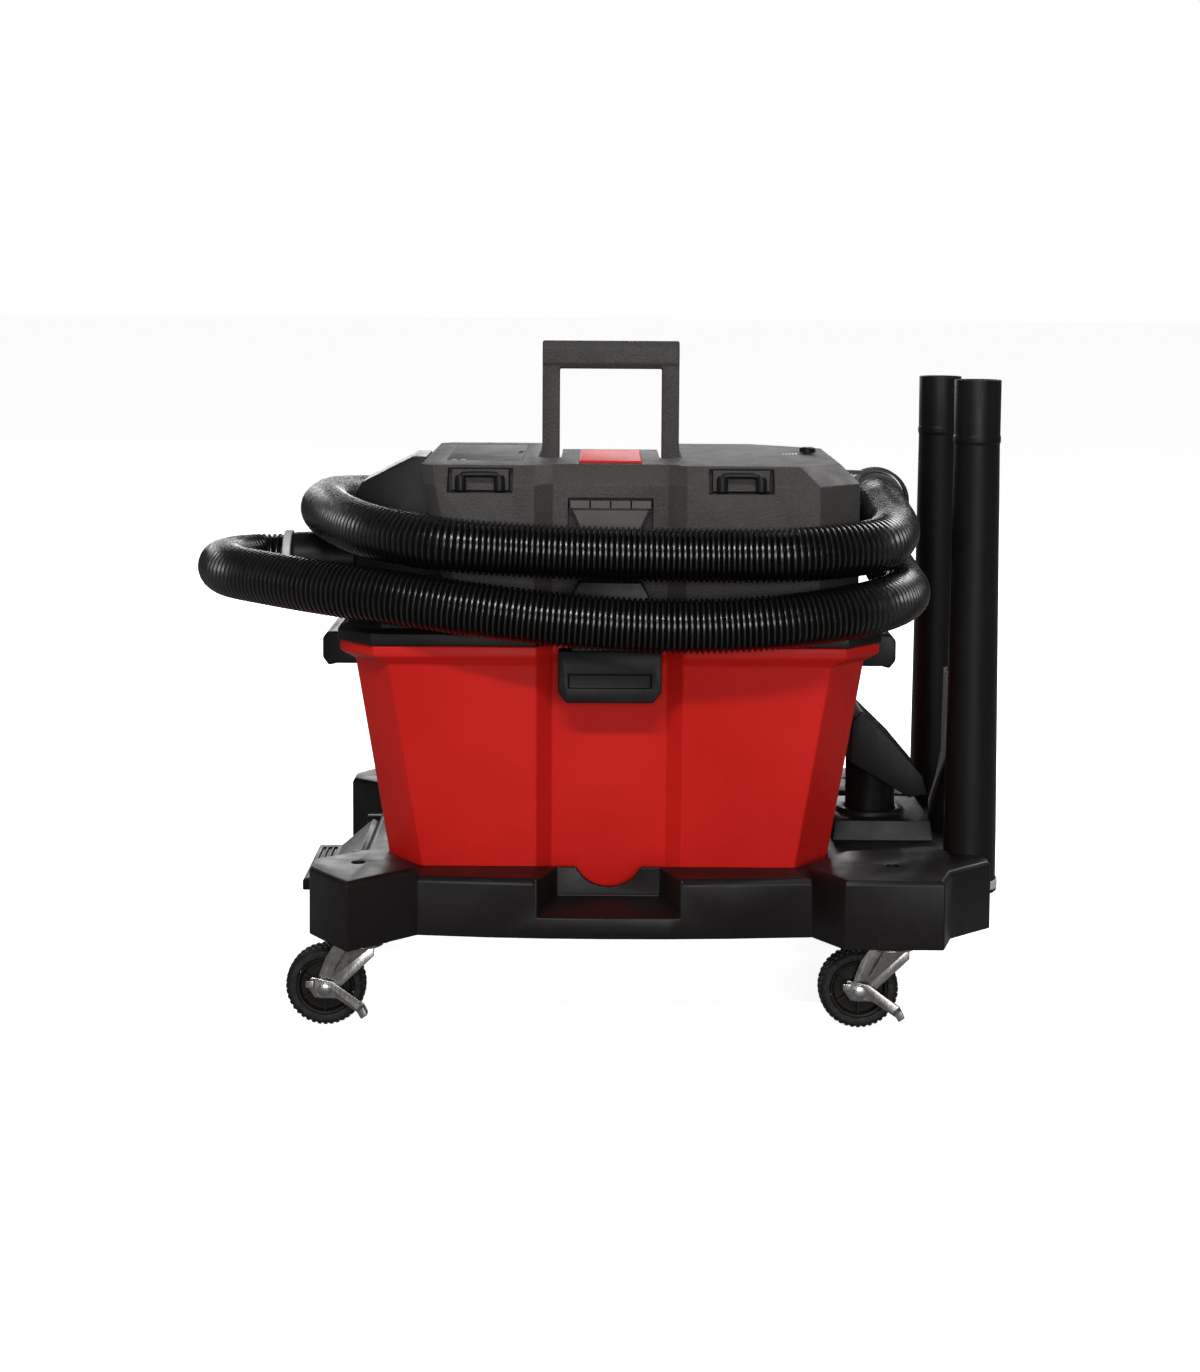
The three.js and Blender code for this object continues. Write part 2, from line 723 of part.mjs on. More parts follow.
// A boss over each caster, and the pad that its plate is screwed to.
function casterBosses(inside) {
  return kingpins().flatMap(([x, y]) => [
    bar("z", [x, y, CART_BOTTOM], POD_TOP - CART_BOTTOM - 2, BOSS_R, BOSS_R, PIN_SIDES),
    box(x - 36, x + 36, y - 30, y + 30, CART_BOTTOM, CART_BOTTOM + SHELL).intersect(inside),
  ]);
}

function cartBase() {
  const outline = cartOutline();
  const inside = prism(inset(outline, 1), CART_BOTTOM, BLOCK_TOP);
  const tray = tankBody(TRAY_PLAY + SHELL, TRAY_FLOOR - SHELL, DECK_TOP, false);
  const stepWalls = stepCut(SHELL).intersect(prism(outline, CART_BOTTOM, DECK_TOP));
  const cupR = WAND_RING_R + CUP_PLAY;
  const cups = toolPlaces().map(([x, y]) =>
    bar("z", [x, y, TOOL_FLOOR - 6], DECK_TOP - TOOL_FLOOR + 6, cupR + CUP_WALL).intersect(inside),
  );
  const socketHeight = BLOCK_TOP - NOZZLE_FOOT + 6;
  const socket = bar("z", [NOZZLE_X, NOZZLE_Y, NOZZLE_FOOT - 6], socketHeight, NOZZLE_NECK_R + CUP_WALL);
  const flange = bar("z", [NOZZLE_X, NOZZLE_Y, BLOCK_TOP - 2], 7, NOZZLE_NECK_R + 11, NOZZLE_NECK_R + 8.5);
  const lugY = PEDAL_HALF + 8;
  const lugs = [-lugY, lugY].map((y) =>
    box(PEDAL_PIN_X - 8, CART_LEFT + 2, y - 5, y + 5, PEDAL_PIN_Z - 9, PEDAL_PIN_Z + 9),
  );
  const bosses = casterBosses(inside);
  const whole = joined(cartShell(outline), ...bosses, tray, stepWalls, ...cups, socket, flange, ...lugs);

  const pocket = tankBody(TRAY_PLAY, TRAY_FLOOR, DECK_TOP + 20, false);
  const notchR = (NOTCH_WIDTH ** 2 / 4 + NOTCH_DEPTH ** 2) / (2 * NOTCH_DEPTH);
  const notch = bar("y", [0, -BASE_HALF_DEPTH - 31, DECK_TOP + notchR - NOTCH_DEPTH], 60, notchR, notchR, 24);
  const wells = toolPlaces().map(([x, y]) => bar("z", [x, y, TOOL_FLOOR], 80, cupR));
  const nozzleBore = bar("z", [NOZZLE_X, NOZZLE_Y, NOZZLE_FOOT - GAP], 60, NOZZLE_NECK_R + 2 * GAP);
  const pinHole = pinBore("y", [PEDAL_PIN_X, -PEDAL_PIN_HALF - 9, PEDAL_PIN_Z], 2 * PEDAL_PIN_HALF + 18);
  const screwHoles = kingpins().map(([x, y]) =>
    bar("z", [x, y, CART_BOTTOM + 12], POD_TOP, KINGPIN_R + 1.5, KINGPIN_R + 1.5, PIN_SIDES),
  );
  return cut(whole, pocket, stepCut(0), notch, ...wells, nozzleBore, pinHole, ...screwHoles);
}

function releasePedal() {
  const flatTop = PEDAL_PIN_Z - 21.5;
  const section = [
    [PEDAL_OUT, flatTop - PEDAL_THICK],
    [PEDAL_OUT + 27, flatTop - PEDAL_THICK],
    [CART_LEFT - 3, PEDAL_PIN_Z - 7],
    [CART_LEFT - 3, PEDAL_PIN_Z + 5],
    [PEDAL_PIN_X - 1, PEDAL_PIN_Z + 7],
    [PEDAL_OUT + 25, flatTop],
    [PEDAL_OUT + 2, flatTop],
    [PEDAL_OUT, flatTop - 2],
  ];
  const ribHalf = PEDAL_HALF - 12;
  const grooves = [6, 12, 18].map((inward) => {
    const x = PEDAL_OUT + inward;
    return box(x, x + 3, -ribHalf, ribHalf, flatTop - 1.5, flatTop + 1);
  });
  const hole = pinBore("y", [PEDAL_PIN_X, -PEDAL_HALF - 17, PEDAL_PIN_Z], 2 * PEDAL_HALF + 34);
  return cut(prismAlongY(section, -PEDAL_HALF, PEDAL_HALF), hole, ...grooves);
}

// ---- Lid and head -------------------------------------------------------------------------------------

// The ring that follows the rim. grow makes it wider on both sides.
function gasketRing(grow, bottom, top) {
  const outer = tankOutline(RIM_HALF_WIDTH, RIM_HALF_DEPTH, grow - GASKET_OUT);
  const inner = tankOutline(RIM_HALF_WIDTH, RIM_HALF_DEPTH, -GASKET_OUT - GASKET_WIDTH - grow);
  return cut(prism(outer, bottom, top), prism(inner, bottom - 1, top + 1));
}

// The four lugs that hold the latches' pins, one on each side of each latch's neck.
function latchLugs() {
  const inner = LATCH_NECK_HALF + 3;
  const outer = inner + LUG_THICK;
  const root = LID_HALF_DEPTH - CHANNEL_DEPTH - 3;
  const tip = LATCH_PIN_Y + 7;
  const spans = [
    [-outer, -inner],
    [inner, outer],
  ];
  const reaches = [
    [-tip, -root],
    [root, tip],
  ];
  return spans.flatMap((x) => reaches.map((y) => box(...x, ...y, FLANGE_TOP - 2, LID_TOP - 2)));
}

function lidBase() {
  const outer = loft([
    [RIM_TOP + GAP, tankOutline(RIM_HALF_WIDTH + 2, RIM_HALF_DEPTH + 2)],
    [FLANGE_TOP, tankOutline(RIM_HALF_WIDTH + 2, RIM_HALF_DEPTH + 2)],
    [FLANGE_TOP + 3, tankOutline(LID_HALF_WIDTH + 4, LID_HALF_DEPTH + 3)],
    [LID_TOP, tankOutline(LID_HALF_WIDTH, LID_HALF_DEPTH)],
  ]);
  const hollow = loft([
    [RIM_TOP + 6, tankOutline(LID_HALF_WIDTH, LID_HALF_DEPTH, -SHELL)],
    [LID_TOP + 1, tankOutline(LID_HALF_WIDTH, LID_HALF_DEPTH, -SHELL)],
  ]);
  const wallHeight = LID_TOP - RIM_TOP - 5;
  const fanWall = bar("z", [0, 0, RIM_TOP + 5], wallHeight, FAN_R + 2 * SHELL, FAN_R + 2 * SHELL, FAN_SIDES);
  const ductWall = bar("z", [INLET_DUCT_X, INLET_Y, RIM_TOP + 5], wallHeight, INLET_R + SHELL);
  const groove = gasketRing(GAP, RIM_TOP, RIM_TOP + GASKET_HEIGHT + GAP);
  const fanChamber = bar("z", [0, 0, FAN_FLOOR], 60, FAN_R + SHELL, FAN_R + SHELL, FAN_SIDES);
  const suction = bar("z", [0, 0, RIM_TOP - 1], 60, SUCTION_R);
  const duct = bar("z", [INLET_DUCT_X, INLET_Y, RIM_TOP - 1], 60, INLET_R);
  const reach = LATCH_NECK_HALF + 14;
  const pinHoles = [-LATCH_PIN_Y, LATCH_PIN_Y].map((y) => pinBore("x", [-reach, y, LATCH_PIN_Z], 2 * reach));
  const added = joined(cut(outer, hollow), fanWall, ductWall, ...latchLugs());
  return cut(added, groove, fanChamber, suction, duct, ...pinHoles);
}

function lidGasket() {
  return gasketRing(0, RIM_TOP + GAP, RIM_TOP + GASKET_HEIGHT);
}

// The head's plan: its left wall, front, right and back, and how far the two right corners are cut.
function headOutline(left, halfDepth, right, grow = 0) {
  const d = halfDepth + grow;
  const l = left - grow;
  const r = right + grow;
  const mouth = CHANNEL_OUTER + 3 - 0.47 * grow;
  const floor = CHANNEL_INNER + 0.5 - 0.47 * grow;
  return [
    [l, -halfDepth + 14 - 0.4 * grow],
    [left + 12 - 0.4 * grow, -d],
    [-mouth, -d],
    [-floor, -d + CHANNEL_DEPTH],
    [floor, -d + CHANNEL_DEPTH],
    [mouth, -d],
    [right - 42 + 0.4 * grow, -d],
    [r, -halfDepth + 42 - 0.4 * grow],
    [r, halfDepth - 60 + 0.4 * grow],
    [right - 70 + 0.4 * grow, d],
    [mouth, d],
    [floor, d - CHANNEL_DEPTH],
    [-floor, d - CHANNEL_DEPTH],
    [-mouth, d],
    [left + 12 - 0.4 * grow, d],
    [l, halfDepth - 14 + 0.4 * grow],
  ];
}

function headOuter(grow, bottom) {
  const shoulder = HEAD_TOP - HEAD_BEVEL;
  const leanAt = (z) => (HEAD_LEAN * (HEAD_TOP - z)) / (HEAD_TOP - LID_TOP);
  return loft([
    [bottom, headOutline(HEAD_LEFT + leanAt(bottom), HEAD_HALF_DEPTH, HEAD_RIGHT, grow)],
    [shoulder + 0.4 * grow, headOutline(HEAD_LEFT + leanAt(shoulder), HEAD_HALF_DEPTH, HEAD_RIGHT, grow)],
    [HEAD_TOP + grow, headOutline(HEAD_LEFT, HEAD_HALF_DEPTH - HEAD_BEVEL, HEAD_RIGHT - HEAD_BEVEL, grow)],
  ]);
}

function loopRecess(x, grow) {
  const half = LOOP_HALF + 7 + grow;
  const back = 25 - HEAD_HALF_DEPTH + grow;
  const top = LOOP_TOP + 2.5 + Math.min(grow, 2);
  return box(x - half, x + half, -HEAD_HALF_DEPTH - 5, back, LOOP_BOTTOM - 2.5 - grow, top);
}

function paddleRecess(grow) {
  const half = PADDLE_HALF + grow;
  const back = CHANNEL_FACE + 14 + grow;
  return box(-half, half, CHANNEL_FACE - 5, back, PADDLE_BOTTOM - grow, PADDLE_TOP + grow);
}

// The space that the carry handle stands in and folds back into.
function handleWell(grow) {
  const half = HANDLE_WELL_HALF + grow;
  const front = HANDLE_PIVOT_Y - 16 - grow;
  return box(-half, half, front, HEAD_HALF_DEPTH + 5, HANDLE_WELL_FLOOR - grow, HEAD_TOP + 5);
}

function handleTongue() {
  const front = HANDLE_PIVOT_Y - 17;
  return box(-TONGUE_HALF, TONGUE_HALF, front, TONGUE_BACK, HANDLE_WELL_FLOOR - 2, HEAD_TOP);
}

// A block over the battery bay. Each number is how far it reaches past the bay on the left, right and ends.
function overBay(left, right, ends, bottom, top) {
  return box(BAY_LEFT - left, BAY_RIGHT + right, BAY_FRONT - ends, BAY_BACK + ends, bottom, top);
}

function handleBore() {
  const half = HANDLE_ROD_HALF + 15;
  return pinBore("x", [-half, HANDLE_PIVOT_Y, HANDLE_PIVOT_Z], 2 * half);
}

function headCover() {
  const outer = headOuter(0, LID_TOP + GAP);
  const hollow = headOuter(-SHELL, LID_TOP - 2);
  const recesses = (grow) => [
    handleWell(grow),
    loopRecess(-LOOP_X, grow),
    loopRecess(LOOP_X, grow),
    paddleRecess(grow),
  ];
  const trays = joined(...recesses(SHELL)).intersect(outer);
  const ledge = overBay(6, 3, 3, HEAD_TOP - 8, HEAD_TOP).intersect(outer);
  const door = overBay(DOOR_LAP, 1, 1, HEAD_TOP - DOOR_SHEET - GAP, HEAD_TOP + 1);
  const doorway = overBay(-2, -3, -3, HEAD_TOP - 30, HEAD_TOP + 1);
  const dialHole = bar("z", [DIAL_X, DIAL_Y, HEAD_TOP - 12], 20, DIAL_STEM_R + 0.5);
  const open = cut(joined(cut(outer, hollow), trays, ledge), ...recesses(0));
  return cut(joined(open, handleTongue()), door, doorway, handleBore(), dialHole);
}

function sideHousing() {
  const section = [
    [HEAD_LEFT - 2, HEAD_TOP],
    [HEAD_LEFT - 15, HEAD_TOP],
    [HOUSING_LEFT + 5, HEAD_TOP - 26.6],
    [HOUSING_LEFT, HEAD_TOP - 35.6],
    [HOUSING_LEFT, LID_TOP + 8],
    [HOUSING_LEFT + 8, LID_TOP + GAP],
    [HEAD_LEFT + HEAD_LEAN - 1, LID_TOP + GAP],
  ];
  const body = cut(prismAlongY(section, HOUSING_FRONT, HOUSING_BACK), headOuter(GAP, LID_TOP - 5));
  const portEnd = [HOUSING_LEFT - PORT_DEPTH, INLET_Y, INLET_Z];
  const port = bar("x", portEnd, PORT_DEPTH + 0.5, CUFF_R + 1, CUFF_R + 3);
  const bore = bar("x", [HOUSING_LEFT - 8, INLET_Y, INLET_Z], INLET_DUCT_X - HOUSING_LEFT + 8, INLET_R);
  const down = bar("z", [INLET_DUCT_X, INLET_Y, LID_TOP - 3], INLET_Z - LID_TOP + 3, INLET_R);
  return cut(joined(body, port), bore, down);
}

function carryHandle() {
  const legIn = HANDLE_HALF_WIDTH - HANDLE_LEG;
  const front = HANDLE_PIVOT_Y - LEG_HALF_THICK;
  const back = HANDLE_PIVOT_Y + LEG_HALF_THICK;
  const legs = [-HANDLE_HALF_WIDTH, legIn].map((x) => {
    const shaft = box(x, x + HANDLE_LEG, front, back, HANDLE_PIVOT_Z, HANDLE_TOP - 10);
    const foot = bar("x", [x, HANDLE_PIVOT_Y, HANDLE_PIVOT_Z], HANDLE_LEG, LEG_HALF_THICK);
    return joined(shaft, foot);
  });
  const gripBottom = HANDLE_TOP - GRIP_HEIGHT;
  const halfSection = [
    [GRIP_HALF_THICK, gripBottom + 6],
    [GRIP_HALF_THICK - 4, gripBottom],
    [4 - GRIP_HALF_THICK, gripBottom],
    [-GRIP_HALF_THICK, gripBottom + 6],
    [-GRIP_HALF_THICK, HANDLE_TOP - 7],
    [4 - GRIP_HALF_THICK, HANDLE_TOP],
    [GRIP_HALF_THICK - 4, HANDLE_TOP],
    [GRIP_HALF_THICK, HANDLE_TOP - 7],
  ];
  const section = halfSection.map(([y, z]) => [HANDLE_PIVOT_Y + y, z]);
  const grip = prismAlongX(section, -HANDLE_HALF_WIDTH, HANDLE_HALF_WIDTH);
  return cut(joined(grip, ...legs), handleBore());
}

function strapLoop(x) {
  const face = 1 - HEAD_HALF_DEPTH;
  const holeHalf = LOOP_HALF - 7;
  const hole = box(x - holeHalf, x + holeHalf, face - 6, face + 14, LOOP_BOTTOM + 4.5, LOOP_TOP - 4.5);
  const frame = box(x - LOOP_HALF, x + LOOP_HALF, face, face + 6, LOOP_BOTTOM, LOOP_TOP);
  const footBack = 25 - HEAD_HALF_DEPTH - GAP;
  const feet = [x - LOOP_HALF + 4, x + LOOP_HALF - 4].map((middle) =>
    box(middle - 3, middle + 3, face + 5, footBack, LOOP_BOTTOM + 1.5, LOOP_BOTTOM + 9.5),
  );
  return joined(cut(frame, hole), ...feet);
}

// The lever pad in the front channel. It tips in about its upper edge.
function frontPaddle() {
  const top = PADDLE_TOP - 2;
  const bottom = PADDLE_BOTTOM + 2;
  const face = CHANNEL_FACE - 3;
  const half = PADDLE_HALF - 1.5;
  const flap = [
    [11 - half, bottom],
    [half - 11, bottom],
    [half - 2, top - 7],
    [half, top - 5],
    [half, top],
    [-half, top],
    [-half, top - 5],
    [2 - half, top - 7],
  ];
  return prismAlongY(flap, face, face + 8);
}

function topBadge() {
  const plan = rectangle(-BADGE_HALF, BADGE_HALF, HANDLE_PIVOT_Y - 91, HANDLE_PIVOT_Y + 65);
  return loft([
    [HEAD_TOP + GAP, plan],
    [HEAD_TOP + 2.2, inset(plan, 1.5)],
  ]);
}

function speedDial() {
  const profile = [
    [0, HEAD_TOP - 11],
    [DIAL_STEM_R, HEAD_TOP - 11],
    [DIAL_STEM_R, HEAD_TOP + GAP],
    [DIAL_R, HEAD_TOP + GAP],
    [DIAL_R - 0.6, HEAD_TOP + DIAL_HEIGHT - 1],
    [DIAL_R - 1.6, HEAD_TOP + DIAL_HEIGHT],
    [0, HEAD_TOP + DIAL_HEIGHT],
  ];
  return turned(profile, DIAL_X, DIAL_Y);
}

// The rubber strap that holds the tool end of the hose to the right side of the head.
function retainingStrap() {
  const reach = TOOL_RING_R + 6;
  const arc = [140, 115, 90, 60, 30, 0, -30, -60].map((degrees) => {
    const angle = THREE.MathUtils.degToRad(degrees);
    return [TOOL_CUFF_X + reach * Math.cos(angle), STRAP_Y, TOOL_CUFF_Z + reach * Math.sin(angle)];
  });
  const start = [HEAD_RIGHT + 3, STRAP_Y, HEAD_TOP - 20];
  const end = [HEAD_RIGHT + 5, STRAP_Y, TOOL_CUFF_Z - 37];
  const section = rectangle(-STRAP_HALF, STRAP_HALF, -STRAP_THICK / 2, STRAP_THICK / 2);
  return swept([start, ...arc, end], section, 18);
}

// ---- Latches ------------------------------------------------------------------------------------------

// A latch that hangs from the lid in the channel. end is -1 at the front, 1 at the back.
function latch(end) {
  const flip = (y0, y1) => [end * y0, end * y1].sort((a, b) => a - b);
  const shoulder = RIM_TOP - 3;
  const lower = [
    [-LATCH_HALF, shoulder],
    [-LATCH_HALF, LATCH_BOTTOM + 10],
    [8 - LATCH_HALF, LATCH_BOTTOM],
    [LATCH_HALF - 8, LATCH_BOTTOM],
    [LATCH_HALF, LATCH_BOTTOM + 10],
    [LATCH_HALF, shoulder],
  ];
  const upper = [
    [-LATCH_NECK_HALF, shoulder - 1],
    [LATCH_NECK_HALF, shoulder - 1],
    [LATCH_NECK_HALF, LATCH_TOP - 12],
    [LATCH_NECK_HALF - 7, LATCH_TOP],
    [7 - LATCH_NECK_HALF, LATCH_TOP],
    [-LATCH_NECK_HALF, LATCH_TOP - 12],
  ];
  const plate = prismAlongY(lower, ...flip(LATCH_IN, LATCH_OUT));
  const neck = prismAlongY(upper, ...flip(LATCH_IN, LATCH_OUT - 1));
  const dentHalf = LATCH_HALF - 10;
  const dentY = flip(LATCH_OUT - 3, LATCH_OUT + 1);
  const dent = box(-dentHalf, dentHalf, ...dentY, LATCH_BOTTOM + 14, LATCH_BOTTOM + 27);
  const hole = pinBore("x", [-LATCH_HALF - 6, end * LATCH_PIN_Y, LATCH_PIN_Z], 2 * LATCH_HALF + 12);
  return cut(joined(plate, neck), dent, hole);
}

function latchPin(end) {
  const half = LATCH_NECK_HALF + 9.5;
  return pin("x", [-half, end * LATCH_PIN_Y, LATCH_PIN_Z], 2 * half);
}

// ---- Inside the head and tank -------------------------------------------------------------------------

function batteryBay() {
  const outer = overBay(0, 0, 0, BAY_BOTTOM, BAY_TOP);
  return cut(outer, overBay(-BAY_WALL, -BAY_WALL, -BAY_WALL, BAY_BOTTOM + BAY_WALL, BAY_TOP + 1));
}

// One of the two batteries, which stand in a row. y is its front face.
function battery(y) {
  const left = BAY_LEFT + BAY_WALL + 2;
  const right = BAY_RIGHT - BAY_WALL - 2;
  const back = y + (BAY_BACK - BAY_FRONT) / 2 - BAY_WALL - 5;
  const foot = BAY_BOTTOM + BAY_WALL + 2;
  const block = loft([
    [foot, rectangle(left + 3, right - 3, y + 3, back - 3)],
    [foot + 6, rectangle(left, right, y, back)],
    [BAY_TOP - 24.6, rectangle(left, right, y, back)],
  ]);
  return joined(block, box(left + 8, right - 8, y + 10, back - 10, BAY_TOP - 25.6, BAY_TOP - 12.6));
}

function batteryDoor() {
  const panel = overBay(DOOR_LAP - GAP, 1 - GAP, 1 - GAP, HEAD_TOP - DOOR_SHEET, HEAD_TOP);
  const pull = box(BAY_RIGHT - 6, BAY_RIGHT - 2, -8, 28, HEAD_TOP - 1.5, HEAD_TOP + 1);
  return cut(panel, pull);
}

function motor() {
  const profile = [
    [0, LID_TOP + 4],
    [SUCTION_R, LID_TOP + 4],
    [52, LID_TOP + 10],
    [52, HANDLE_WELL_FLOOR - 43],
    [44, HANDLE_WELL_FLOOR - 33],
    [20, HANDLE_WELL_FLOOR - 29],
    [20, HANDLE_WELL_FLOOR - 17],
    [0, HANDLE_WELL_FLOOR - 17],
  ];
  return cut(turned(profile), bar("z", [0, 0, LID_TOP], 40, STUD_R, STUD_R, PIN_SIDES));
}

function impeller() {
  const hub = bar("z", [0, 0, FAN_FLOOR + 2], 14, 14);
  const disc = bar("z", [0, 0, FAN_FLOOR + 14], 3, FAN_R, FAN_R, FAN_SIDES);
  const shaftR = STUD_R - GAP;
  const shaft = bar("z", [0, 0, FAN_FLOOR + 8], LID_TOP - FAN_FLOOR + 22, shaftR, shaftR, PIN_SIDES);
  const blades = Array.from({ length: 6 }, (_, i) => {
    const blade = new THREE.BoxGeometry(FAN_R - 16, 2, 13).translate(FAN_R / 2 + 5, 0, FAN_FLOOR + 8.5);
    return solidOf(blade.rotateZ((i * Math.PI) / 3));
  });
  return joined(disc, hub, shaft, ...blades);
}

function filterCage() {
  const flange = bar("z", [0, 0, RIM_TOP - 4], 4, CAGE_R + 12);
  const can = bar("z", [0, 0, CAGE_BOTTOM], RIM_TOP - CAGE_BOTTOM, CAGE_R);
  const stud = bar("z", [0, 0, CAGE_BOTTOM - 24], 30, STUD_R, STUD_R, PIN_SIDES);
  const inside = bar("z", [0, 0, CAGE_BOTTOM + SHELL], RIM_TOP, CAGE_R - SHELL);
  const windowHeight = RIM_TOP - CAGE_BOTTOM - 36;
  const windowMiddle = CAGE_BOTTOM + 17 + windowHeight / 2;
  const windows = [0, 60, 120].map((turn) => {
    const slot = new THREE.BoxGeometry(2 * CAGE_R + 28, 18, windowHeight).translate(0, 0, windowMiddle);
    return solidOf(slot.rotateZ(THREE.MathUtils.degToRad(turn)));
  });
  return joined(cut(joined(flange, can), inside, ...windows), stud);
}

function filterCartridge() {
  const outline = Array.from({ length: 2 * PLEATS }, (_, i) => {
    const radius = i % 2 ? CARTRIDGE_R - PLEAT_DEPTH : CARTRIDGE_R;
    const angle = (i * Math.PI) / PLEATS;
    return [radius * Math.cos(angle), radius * Math.sin(angle)];
  });
  const capR = CARTRIDGE_R + 2;
  const caps = [CAGE_BOTTOM + 4, RIM_TOP - 11].map((z) => bar("z", [0, 0, z], 6, capR, capR, FAN_SIDES));
  const bore = bar("z", [0, 0, CAGE_BOTTOM - 2], RIM_TOP - CAGE_BOTTOM + 8, CAGE_R + 1);
  return cut(joined(prism(outline, CAGE_BOTTOM + 6, RIM_TOP - 8), ...caps), bore);
}

function filterNut() {
  const body = bar("z", [0, 0, CAGE_BOTTOM - 16], 16 - GAP, 26, 34, 8);
  const thread = STUD_R + GAP;
  return cut(body, bar("z", [0, 0, CAGE_BOTTOM - 22], 40, thread, thread, PIN_SIDES));
}

// ---- Hose ---------------------------------------------------------------------------------------------

function hose() {
  return swept(HOSE_ROUTE, regular(8, HOSE_D / 2), 80);
}

function inletCuff() {
  const start = HOUSING_LEFT - PORT_DEPTH - GAP;
  const end = HOSE_ROUTE[0][0] + GAP;
  const collar = bar("x", [end + 8, INLET_Y, INLET_Z], start - end - 8, CUFF_R);
  const ring = bar("x", [end, INLET_Y, INLET_Z], 8, CUFF_RING_R);
  const bore = bar("x", [end - 1, INLET_Y, INLET_Z], start - end + 2, INLET_R);
  return cut(joined(collar, ring), bore);
}

function toolCuff() {
  const start = HOSE_ROUTE[HOSE_ROUTE.length - 1][1] + GAP;
  const sleeve = bar("y", [TOOL_CUFF_X, start, TOOL_CUFF_Z], 40, TOOL_RING_R - 2, TOOL_RING_R - 1);
  const ring = bar("y", [TOOL_CUFF_X, start + 38, TOOL_CUFF_Z], 9, TOOL_RING_R);
  const nose = bar("y", [TOOL_CUFF_X, start + 46, TOOL_CUFF_Z], 64, TOOL_NOSE_R, TOOL_NOSE_R - 2.5);
  const bore = bar("y", [TOOL_CUFF_X, start - 1, TOOL_CUFF_Z], 115, 19);
  return cut(joined(sleeve, ring, nose), bore);
}

// ---- Tools on the cart --------------------------------------------------------------------------------

function wand(y, length) {
  const foot = TOOL_FLOOR + GAP;
  const top = TOOL_FLOOR + length;
  const sleeveR = WAND_RING_R - 1.5;
  const profile = [
    [WAND_R - 1, foot],
    [WAND_RING_R, foot + 2],
    [WAND_RING_R, foot + 12.7],
    [sleeveR, foot + 13.7],
    [sleeveR, foot + 60.7],
    [WAND_R, top - 62],
    [WAND_R + 0.7, top - 58],
    [WAND_R + 0.7, top],
    [WAND_R - 2.5, top],
    [WAND_R - 1, foot],
  ];
  return turned(profile, WAND_X, y);
}

// An outline drawn in towards its middle by a share along X and along Y.
function drawnIn(outline, shareX, shareY) {
  return outline.map(([x, y]) => [x * shareX, y * shareY]);
}

function creviceTool() {
  const foot = TOOL_FLOOR + GAP;
  const top = TOOL_FLOOR + CREVICE_LENGTH;
  const round = regular(ROUND, CREVICE_R);
  const flat = round.map(([x, y]) => [Math.sign(x) * Math.min(Math.abs(x), 8.5), y]);
  const outer = loft([
    [foot, round],
    [foot + 60, round],
    [foot + 110, flat],
    [top, drawnIn(flat, 0.85, 1)],
  ]);
  const inner = loft([
    [foot - 1, drawnIn(round, 0.85, 0.85)],
    [foot + 60, drawnIn(round, 0.85, 0.85)],
    [foot + 110, drawnIn(flat, 0.65, 0.85)],
    [top + 1, drawnIn(flat, 0.5, 0.85)],
  ]);
  const slope = [
    [-CREVICE_R - 1, top + 5],
    [-CREVICE_R - 1, top - 14],
    [CREVICE_R + 3, top + 5],
  ];
  return cut(outer, inner, prismAlongX(slope, -40, 40)).translate([WAND_X, 0, 0]);
}

// The wide nozzle: a round neck in the cart's socket and a slanted mouth above it.
function utilityNozzle() {
  const fromFoot = (points) => points.map(([x, z]) => [NOZZLE_X + x, NOZZLE_FOOT + z]);
  const hood = fromFoot([
    [-26, 90],
    [35, 54],
    [53, 57],
    [48, 76],
    [21, 108],
    [-14, 142],
    [-24, 132],
  ]);
  const cavity = fromFoot([
    [-21, 93],
    [33, 60],
    [44, 64],
    [43, 75],
    [18, 103],
    [-13, 134],
    [-20, 126],
  ]);
  const opening = fromFoot([
    [36, 79],
    [60, 64],
    [60, 154],
    [-8, 149],
    [-11, 128],
  ]);
  const across = (half) => [NOZZLE_Y - half, NOZZLE_Y + half];
  const shell = prismAlongY(hood, ...across(NOZZLE_MOUTH_HALF));
  const hollow = prismAlongY(cavity, ...across(NOZZLE_MOUTH_HALF - NOZZLE_WALL));
  const mouth = prismAlongY(opening, ...across(NOZZLE_MOUTH_HALF - NOZZLE_WALL));
  const neck = bar("z", [NOZZLE_X, NOZZLE_Y, NOZZLE_FOOT], 94, NOZZLE_NECK_R);
  const bore = bar("z", [NOZZLE_X, NOZZLE_Y, NOZZLE_FOOT - 1], 92, NOZZLE_NECK_R - 4);
  return cut(joined(neck, shell), hollow, mouth, bore);
}

// ---- Assembly -----------------------------------------------------------------------------------------

function buildCart() {
  const cart = new THREE.Group();
  cart.add(piece("cart_base", "cart", cartBase()));
  cart.add(piece("release_pedal", "cart", releasePedal()));
  const pedalPin = pin("y", [PEDAL_PIN_X, -PEDAL_PIN_HALF, PEDAL_PIN_Z], 2 * PEDAL_PIN_HALF);
  cart.add(piece("pedal_pin", "steel", pedalPin));
  addCaster(cart, "fl", KINGPIN_LEFT, -KINGPIN_Y);
  addCaster(cart, "fr", KINGPIN_RIGHT, -KINGPIN_Y);
  addCaster(cart, "rl", KINGPIN_LEFT, KINGPIN_Y);
  addCaster(cart, "rr", KINGPIN_RIGHT, KINGPIN_Y);
  cart.add(piece("wand_front", "trim", wand(-WAND_Y, WAND_FRONT_LENGTH)));
  cart.add(piece("wand_rear", "trim", wand(WAND_Y, WAND_REAR_LENGTH)));
  cart.add(piece("crevice_tool", "trim", creviceTool()));
  cart.add(piece("utility_nozzle", "trim", utilityNozzle()));
  return cart;
}

